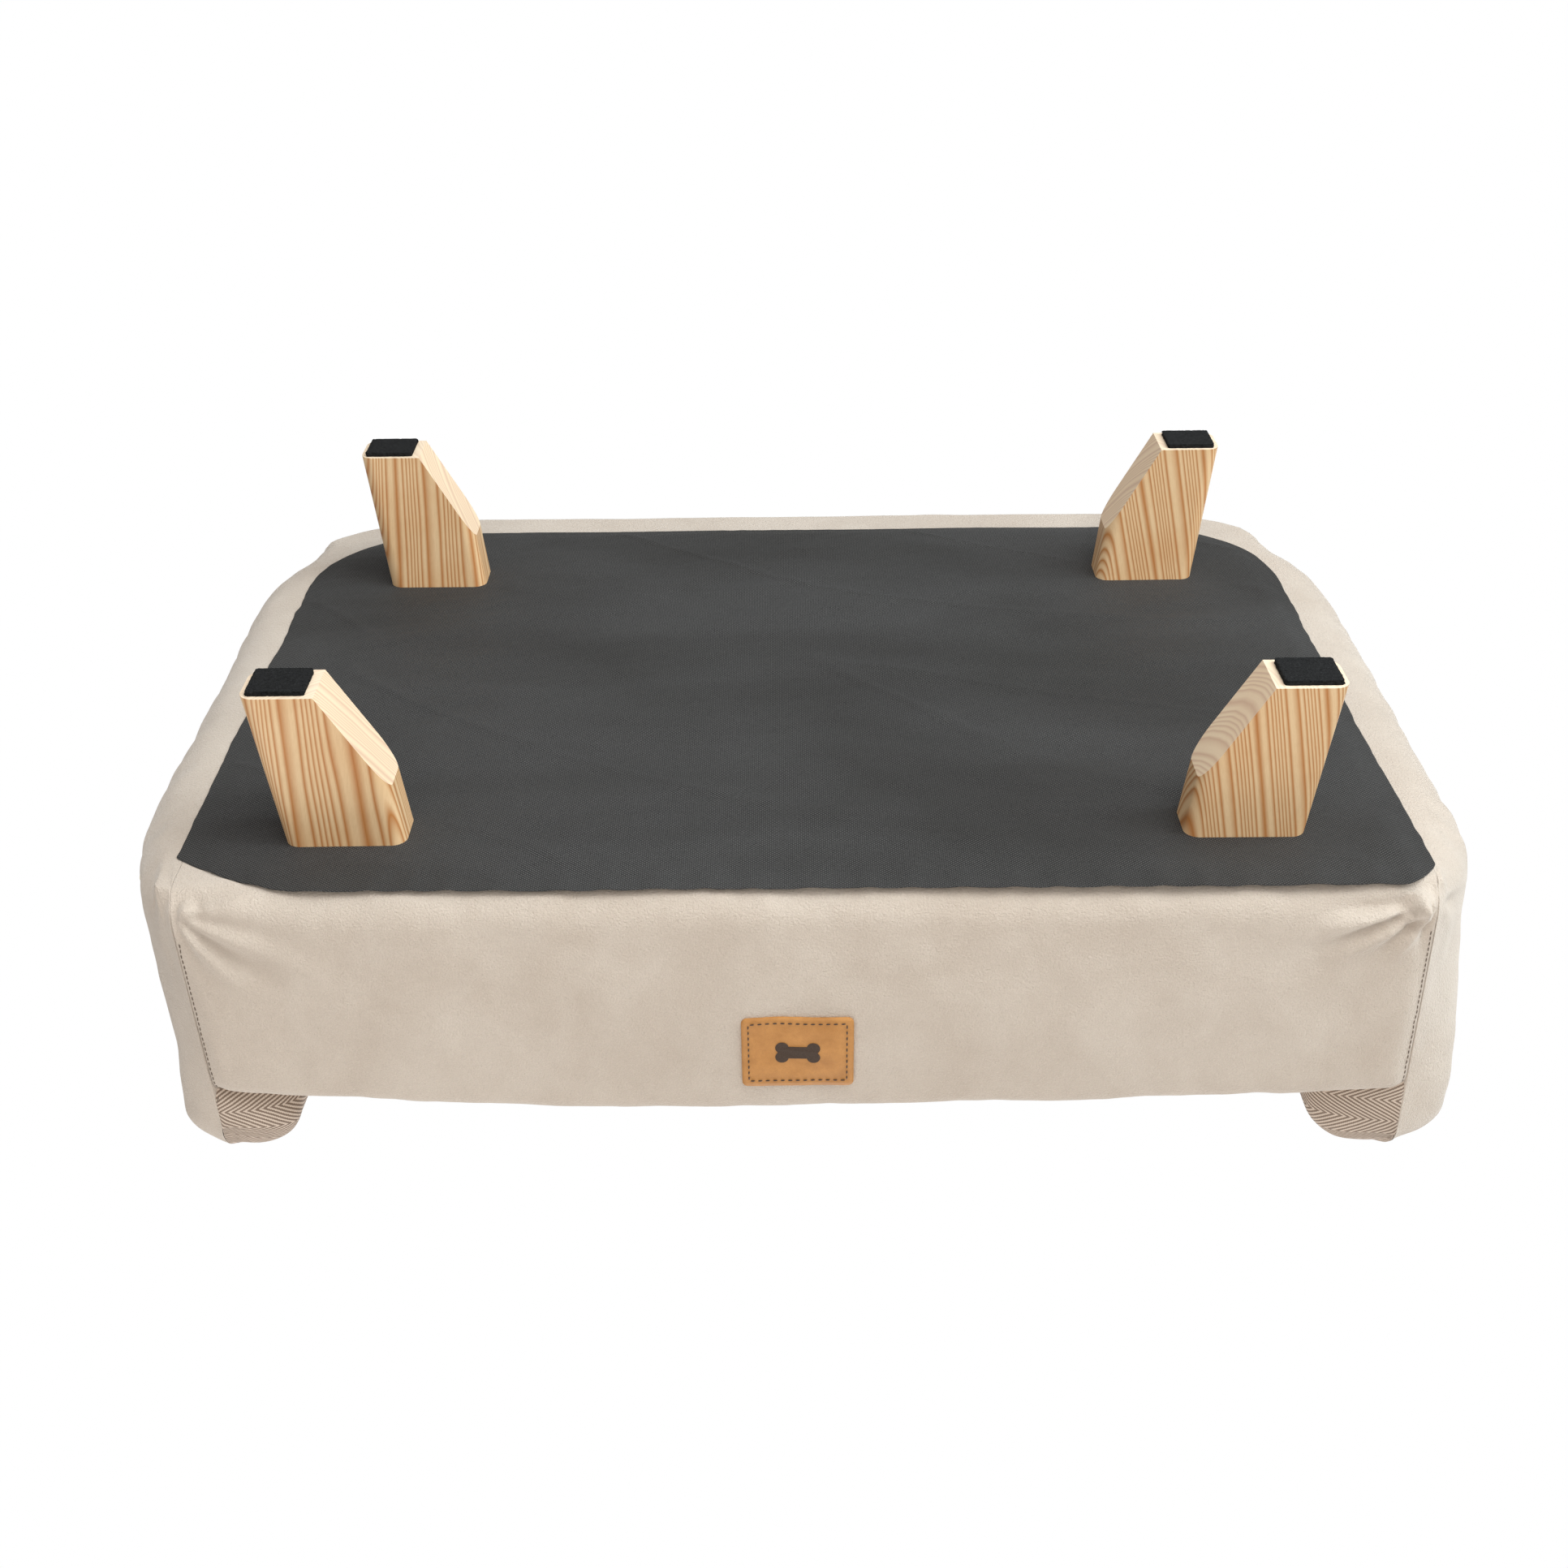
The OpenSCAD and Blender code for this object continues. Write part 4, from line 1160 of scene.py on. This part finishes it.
def labelFinish():
    material, tree, shader = newMaterial("labelKraft", Specular_IOR_Level=0.3)
    vector = objectCoords(tree)
    cloud = noiseAt(tree, vector, 90.0, 4.0, 0.6)
    specks = noiseAt(tree, vector, 1700.0, 2.0)
    base = ramp(tree, cloud, (0.3, (0.385, 0.165, 0.042)), (0.7, (0.525, 0.245, 0.072)))
    speckled = mixed(tree, span(tree, specks, 0.45, 0.75, 0.0, 0.5), base, (0.36, 0.17, 0.05))
    wire(tree, speckled, shader["Base Color"])
    wire(tree, span(tree, cloud, 0.3, 0.7, 0.52, 0.66), shader["Roughness"])
    bump(tree, plus(tree, specks, cloud), 0.4, 0.0003, shader)
    return material


def apronSurface(x, z):
    # the apron's front at a place, read from the finished mesh
    finished = apronCover.evaluated_get(bpy.context.evaluated_depsgraph_get())
    hit, place, normal, index = finished.ray_cast(Vector((x, frontY - 0.1, z)), Vector((0, 1, 0)))
    return place.y if hit else frontY


def faceFront(bm):
    # a flat shape's faces turned to look forwards, along -y
    bmesh.ops.recalc_face_normals(bm, faces=bm.faces[:])
    if sum(f.normal.y for f in bm.faces) > 0:
        bmesh.ops.reverse_faces(bm, faces=bm.faces[:])


def makeLabel():
    low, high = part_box("label")
    middle = (low + high) / 2
    bm = bmesh.new()
    bmesh.ops.create_grid(bm, x_segments=26, y_segments=20, size=1)
    half = Vector(((high.x - low.x) / 2, (high.z - low.z) / 2, 0))
    cut = label["round"]
    for v in bm.verts:
        a, b = v.co.x, v.co.y
        dx, dz = abs(a) * half.x - (half.x - cut), abs(b) * half.y - (half.y - cut)
        pull = min(1.0, cut / math.hypot(dx, dz)) if dx > 0 and dz > 0 else 1.0
        if pull < 1:
            a = math.copysign(1 - (cut - dx * pull) / half.x, a)
            b = math.copysign(1 - (cut - dz * pull) / half.y, b)
        x, z = middle.x + a * half.x, middle.z + b * half.y
        inside = (1 - max(abs(v.co.x), abs(v.co.y))) * half.y
        sunk = label["stitchDip"] * bell(inside, label["stitchInset"], label["stitchSpread"])
        v.co = (x, apronSurface(x, z) - label["gap"] + sunk, z)
    faceFront(bm)
    bmesh.ops.solidify(bm, geom=bm.faces[:], thickness=-label["thick"])
    bmesh.ops.recalc_face_normals(bm, faces=bm.faces[:])
    for f in bm.faces:
        f.smooth = abs(f.normal.y) > 0.5
    standFor(makeObject("labelPatch", bm, labelFinish()), "sofa", "label_tan", "label")


makeLabel()


def addStitch(bm, start, end, outward, radius):
    # one thread stitch: a bead drawn out between two needle holes, and bowed a little outwards
    run = end - start
    made = bmesh.ops.create_uvsphere(bm, u_segments=6, v_segments=6, radius=1)["verts"]
    across = run.cross(outward).normalized()
    spin = Matrix((across, outward, run.normalized())).transposed().to_4x4()
    bmesh.ops.scale(bm, verts=made, vec=(radius, radius * 0.9, run.length / 2))
    place = Matrix.Translation((start + end) / 2 + outward * radius * 0.35)
    bmesh.ops.transform(bm, verts=made, matrix=place @ spin)


def labelFront(x, z):
    return apronSurface(x, z) - label["thick"] - label["gap"]


def makeLabelStitches():
    low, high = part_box("label")
    inset, step = label["stitchInset"], label["stitchLength"] + label["stitchGap"]
    corners = [(low.x + inset, low.z + inset), (high.x - inset, low.z + inset),
               (high.x - inset, high.z - inset), (low.x + inset, high.z - inset)]
    bm = bmesh.new()
    outward = Vector((0, -1, 0))
    for (x0, z0), (x1, z1) in zip(corners, corners[1:] + corners[:1]):
        length = math.hypot(x1 - x0, z1 - z0)
        count = round(length / step)
        for i in range(count):
            t0 = (i + 0.18) / count
            t1 = t0 + label["stitchLength"] / length
            ends = [Vector((x0 + (x1 - x0) * t, 0, z0 + (z1 - z0) * t)) for t in (t0, t1)]
            for p in ends:
                p.y = labelFront(p.x, p.z)
            addStitch(bm, ends[0], ends[1], outward, label["stitchRadius"])
    shadeSmooth(bm)
    standFor(makeObject("labelStitching", bm, thread), "sofa", "label_thread", "label_stitches")


def makeLabelMotif():
    # a plain bone, pressed on in dark brown
    low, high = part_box("label")
    middle = (low + high) / 2
    size = label["motif"]
    outline = []
    knob = size * 0.15
    turns = ((1, 1, -48, 168), (-1, 1, 12, 228), (-1, -1, 132, 348), (1, -1, 192, 408))
    for right, up, start, end in turns:
        outline += arcPoints(right * (size / 2 - knob), up * knob * 0.85, knob, start, end)
    bm = bmesh.new()
    ring = [bm.verts.new((middle.x + u, 0, middle.z + w)) for u, w in outline]
    for v in ring:
        v.co.y = labelFront(v.co.x, v.co.z) - 0.0001
    face = bm.faces.new(ring)
    bmesh.ops.inset_region(bm, faces=[face], thickness=0.0003, depth=0.0)
    faceFront(bm)
    bmesh.ops.solidify(bm, geom=bm.faces[:], thickness=-0.0003)
    bmesh.ops.recalc_face_normals(bm, faces=bm.faces[:])
    standFor(makeObject("labelMotif", bm, thread), "sofa", "label_thread")


makeLabelStitches()
makeLabelMotif()
print("label sewn on")


seamStitches = {
    "length": 0.0027,
    "gap": 0.0009,
    "radius": 0.00042,
    "inset": 0.0022,         # from the seam's line
    "wander": 0.0007,
}


def makeSeamStitches():
    # the short stitches that show in the seams beside the apron
    bm = bmesh.new()
    step = seamStitches["length"] + seamStitches["gap"]
    z = underZ + 0.030
    while z < apronHigh.z - 0.008:
        for side in (-1, 1):
            ends = []
            for zz in (z, z + seamStitches["length"]):
                x = frontSeam(side, zz).x - side * seamStitches["inset"]
                x += seamStitches["wander"] * waves(zz * 130, side * 4)
                ends.append(Vector((x, apronSurface(x, zz), zz)))
            addStitch(bm, ends[0], ends[1], Vector((0, -1, 0)), seamStitches["radius"])
        z += step
    shadeSmooth(bm)
    standFor(makeObject("seamStitching", bm, seamThread), "sofa", "velvet")


makeSeamStitches()
print("seams stitched")


cushion = {
    "columns": 96,
    "rows": 70,
    "bandRows": 12,
    "band": 0.076,           # height of the band, from seam to seam
    "headroom": 0.008,       # left above the crown for the swelling
    "frontRound": 0.030,
    "backRound": 0.040,
    "shrink": 0.004,         # the shape starts smaller than its place, and swells
    "cap": 0.012,            # the furthest that a point may swell
    "fillGap": 0.0040,       # the wadding lies this far under the cloths
    "cloth": 0.0012,         # thickness of the cloths
    "piping": 0.0026,        # radius of the corded edges
    "pressure": 3.2,
    "frames": 18,
}


def zonesOf(edge, zone):
    # which of the top (0), the band (1) and the bottom (2) meet at an edge
    return {f[zone] for f in edge.link_faces}


def makeCushion():
    low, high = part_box("cushion_band")
    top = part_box("cushion_top")[1].z
    columns, rows = cushion["columns"], cushion["rows"]
    centre = (low + high) / 2
    half = (high - low) / 2 - Vector((cushion["shrink"], cushion["shrink"], 0))
    zLow, zEdge = low.z + 0.0005, low.z + cushion["band"]
    crown = top - zEdge - cushion["headroom"]
    bm = bmesh.new()
    bmesh.ops.create_grid(bm, x_segments=columns, y_segments=rows, size=1)
    for v in bm.verts:
        a, b = v.co.x, v.co.y
        r = cushion["backRound"] if b > 0 else cushion["frontRound"]
        x, y = roundedCorner(a * half.x, b * half.y, half, r)
        rise = crown * (1 - abs(a) ** 3) * (1 - abs(b) ** 3)
        v.co = (centre.x + x, centre.y + y, zEdge + rise)
    zone = bm.faces.layers.int.new("zone")
    uvLayer = bm.loops.layers.uv.new("cloth")
    topFaces = bm.faces[:]

    def finishPart(made, number, z):
        for part in made:
            if isinstance(part, bmesh.types.BMVert):
                part.co.z = z
            elif isinstance(part, bmesh.types.BMFace):
                part[zone] = number

    for k in range(cushion["bandRows"]):
        rim = [e for e in bm.edges if e.is_boundary]
        made = bmesh.ops.extrude_edge_only(bm, edges=rim)["geom"]
        finishPart(made, 1, zEdge + (zLow - zEdge) * (k + 1) / cushion["bandRows"])
    finishPart(bmesh.ops.duplicate(bm, geom=topFaces)["geom"], 2, zLow)
    bmesh.ops.remove_doubles(bm, verts=bm.verts[:], dist=0.0002)
    bmesh.ops.recalc_face_normals(bm, faces=bm.faces[:])
    shadeSmooth(bm)
    for f in bm.faces:
        side = f[zone] == 1
        for loop in f.loops:
            p = loop.vert.co
            loop[uvLayer].uv = (p.x + p.y if side else p.x, p.z if side else p.y)
    bm.verts.index_update()
    seams = sorted({v.index for e in bm.edges if len(zonesOf(e, zone)) == 2 for v in e.verts})
    whole = makeObject("cushionWhole", bm, velvet)
    inflate(whole, zLow, seams)
    whole.vertex_groups.clear()
    return whole


def inflate(piece, floorZ, seams):
    # the two corded seams hold their line, and the cloths swell between them
    start = [v.co.copy() for v in piece.data.vertices]
    held = piece.vertex_groups.new(name="seams")
    held.add(seams, 1.0, "REPLACE")
    cloth = piece.modifiers.new("swell", "CLOTH")
    given = cloth.settings
    given.vertex_group_mass = "seams"
    given.use_pressure = True
    given.uniform_pressure_force = cushion["pressure"]
    given.quality = 5
    given.mass = 0.3
    given.tension_stiffness = 30
    given.compression_stiffness = 12
    given.bending_stiffness = 1.2
    given.effector_weights.gravity = 0
    cloth.collision_settings.use_self_collision = False
    scene = bpy.context.scene
    for i in range(1, cushion["frames"] + 1):
        scene.frame_set(i)
    shape = piece.evaluated_get(bpy.context.evaluated_depsgraph_get())
    moved = [v.co.copy() for v in shape.data.vertices]
    piece.modifiers.remove(cloth)
    scene.frame_set(1)
    for v, old, new in zip(piece.data.vertices, start, moved):
        step = new - old
        if step.length > cushion["cap"]:
            step *= cushion["cap"] / step.length
        v.co = old + step
        v.co.z = max(floorZ, v.co.z)


cushionWhole = makeCushion()
print("cushion swelled")


def cushionParts(whole):
    # the swollen shape is cut along its seams into the cloths that it is sewn from
    cloths = (("cushionTop", herringbone, "herringbone", "cushion_top"),
              ("cushionBand", velvet, "velvet", "cushion_band"),
              ("cushionBottom", blackCloth, "black_nonwoven", "cushion_bottom"))
    for number, (name, material, slotName, nodeName) in enumerate(cloths):
        bm = fromMesh(whole.data)
        zone = bm.faces.layers.int["zone"]
        bmesh.ops.delete(bm, geom=[f for f in bm.faces if f[zone] != number], context="FACES")
        bm.normal_update()
        rim = {v for e in bm.edges if e.is_boundary for v in e.verts}
        if number < 2:
            pushOut(bm, lambda v: 0.0 if v in rim else softness(v.co, 17.0, 0.0012))
        piece = softened(makeObject(name, bm, material), cushion["cloth"])
        standFor(piece, "cushion", slotName, nodeName)


def cushionPiping(whole):
    # corded edges over the two long seams
    bm = fromMesh(whole.data)
    zone = bm.faces.layers.int["zone"]
    for number, name, lift in ((0, "cushionTopPiping", 0.0012), (2, "cushionBottomPiping", 0.0016)):
        seam = [e for e in bm.edges if zonesOf(e, zone) == {number, 1}]
        line = [seam[0].verts[0]]
        left = set(seam)
        while left:
            nextEdge = next((e for e in line[-1].link_edges if e in left), None)
            if nextEdge is None:
                break
            left.discard(nextEdge)
            line.append(nextEdge.other_vert(line[-1]))
        curve = bpy.data.curves.new(name, "CURVE")
        curve.dimensions = "3D"
        curve.bevel_depth = cushion["piping"]
        curve.bevel_resolution = 3
        spline = curve.splines.new("POLY")
        points = [v.co for v in line[:-1]]
        spline.points.add(len(points) - 1)
        for point, co in zip(spline.points, points):
            point.co = (co.x, co.y, co.z + lift, 1)
        spline.use_cyclic_u = True
        holder = linked(name + "Curve", curve)
        finished = holder.evaluated_get(bpy.context.evaluated_depsgraph_get())
        mesh = bpy.data.meshes.new_from_object(finished)
        bpy.data.objects.remove(holder)
        for polygon in mesh.polygons:
            polygon.use_smooth = True
        piece = linked(name, mesh)
        setFinish(piece, velvet)
        standFor(piece, "cushion", "velvet")
    bm.free()


def makeFilling(whole):
    # the wadding lies close under the cloths
    bm = fromMesh(whole.data)
    bm.normal_update()
    pushOut(bm, lambda v: -cushion["fillGap"] - 0.0006 * noise.noise(v.co * 40))
    piece = makeObject("cushionFilling", bm, wadding)
    standFor(piece, "cushion", "fibre_fill", "cushion_fill")


cushionParts(cushionWhole)
cushionPiping(cushionWhole)
makeFilling(cushionWhole)
bpy.data.objects.remove(cushionWhole)
print("cushion sewn")


zipTeeth = {
    "pitch": 0.0016,
    "size": Vector((0.0009, 0.0011, 0.0024)),
    "offset": 0.0008,        # above and below the middle, in turn
    "round": 0.00022,
}


def makeZipTeeth():
    low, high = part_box("zip_coil")
    middle = (low + high) / 2
    half = zipTeeth["size"] / 2
    bm = bmesh.new()
    x = low.x + zipTeeth["pitch"]
    side = 1
    while x < high.x - zipTeeth["pitch"]:
        at = Vector((x, middle.y, middle.z + side * zipTeeth["offset"]))
        addBlock(bm, at - half, at + half)
        x += zipTeeth["pitch"] / 2
        side = -side
    roundOff(bm, bm.edges[:], zipTeeth["round"], 1)
    standFor(makeObject("zipTeeth", bm, coilPlastic), "cushion", "zip_coil", "zip_coil")


makeZipTeeth()
print("zip made")


# The camera looks up at the underside from in front, turned over so that the legs point up
camera = {
    "place": (0.0045, -1.2412, -0.5034),
    "right": (-1.0, -0.0037, 0.0098),
    "up": (-0.0103, 0.4879, -0.8729),
    "lens": 46.58,
    "sensor": 36.0,
}


def makeCamera():
    data = bpy.data.cameras.new("camera")
    data.lens = camera["lens"]
    data.sensor_width = camera["sensor"]
    data.clip_start = 0.05
    eye = linked("camera", data)
    right = Vector(camera["right"]).normalized()
    up = Vector(camera["up"])
    up = (up - right * up.dot(right)).normalized()
    turn = Matrix((right, up, right.cross(up))).transposed().to_4x4()
    eye.matrix_world = Matrix.Translation(camera["place"]) @ turn
    bpy.context.scene.camera = eye


backdrop = {
    "world": 0.43,
    "seen": 0.57,            # added where the camera sees it
    "floorGlow": 0.42,
}

lamps = [
    # name, place, aim, size, watts, colour
    ("sideBelow", (-1.9, -0.3, -1.2), (0.0, 0.0, 0.15), 1.4, 38, (0.82, 0.93, 1.0)),
    ("below", (-0.7, -0.9, -2.2), (0.0, 0.0, 0.1), 1.8, 54, (0.93, 0.97, 1.0)),
    ("frontBelow", (0.1, -2.3, -0.9), (0.0, -0.1, 0.15), 1.8, 18, (1.0, 0.99, 0.98)),
    ("skylight", (-0.5, -0.6, 2.6), (0.0, 0.0, 0.2), 1.8, 44, (1.0, 1.0, 1.0)),
    ("frontHigh", (1.6, -1.9, 1.5), (0.0, 0.0, 0.2), 1.3, 22, (1.0, 0.99, 0.98)),
    ("backHigh", (-1.4, 2.2, 1.4), (0.0, 0.0, 0.2), 1.4, 24, (1.0, 1.0, 1.0)),
]


def makeLights():
    for name, place, aim, size, watts, colour in lamps:
        data = bpy.data.lights.new(name, "AREA")
        data.size = size
        data.energy = watts
        data.color = colour
        lamp = linked(name, data)
        lamp.location = place
        lamp.rotation_mode = "QUATERNION"
        lamp.rotation_quaternion = (Vector(aim) - Vector(place)).to_track_quat("-Z", "Y")
    world = bpy.data.worlds.new("studio")
    bpy.context.scene.world = world
    world.use_nodes = True
    tree = world.node_tree
    background = tree.nodes["Background"]
    path = tree.nodes.new("ShaderNodeLightPath")
    seen = plus(tree, times(tree, path.outputs["Is Camera Ray"], backdrop["seen"]), backdrop["world"])
    background.inputs["Color"].default_value = (1, 1, 1, 1)
    tree.links.new(seen, background.inputs["Strength"])
    bpy.context.scene.view_settings.view_transform = "Standard"


def makeFloor():
    # it is seen only from above, so the view from below looks past it
    bm = bmesh.new()
    bmesh.ops.create_grid(bm, x_segments=1, y_segments=1, size=6)
    material, tree, shader = newMaterial("paleFloor", Roughness=0.9)
    shader["Base Color"].default_value = (0.86, 0.855, 0.85, 1)
    shader["Emission Color"].default_value = (1, 1, 1, 1)
    shader["Emission Strength"].default_value = backdrop["floorGlow"]
    geometry = tree.nodes.new("ShaderNodeNewGeometry")
    clear = tree.nodes.new("ShaderNodeBsdfTransparent")
    choose = tree.nodes.new("ShaderNodeMixShader")
    tree.links.new(geometry.outputs["Backfacing"], choose.inputs[0])
    tree.links.new(tree.nodes["Principled BSDF"].outputs[0], choose.inputs[1])
    tree.links.new(clear.outputs[0], choose.inputs[2])
    tree.links.new(choose.outputs[0], tree.nodes["Material Output"].inputs[0])
    floor = makeObject("floor", bm, material)
    floor.visible_shadow = False
    floor.visible_diffuse = False
    floor.visible_glossy = False


makeCamera()
makeLights()
makeFloor()
print("stage set")
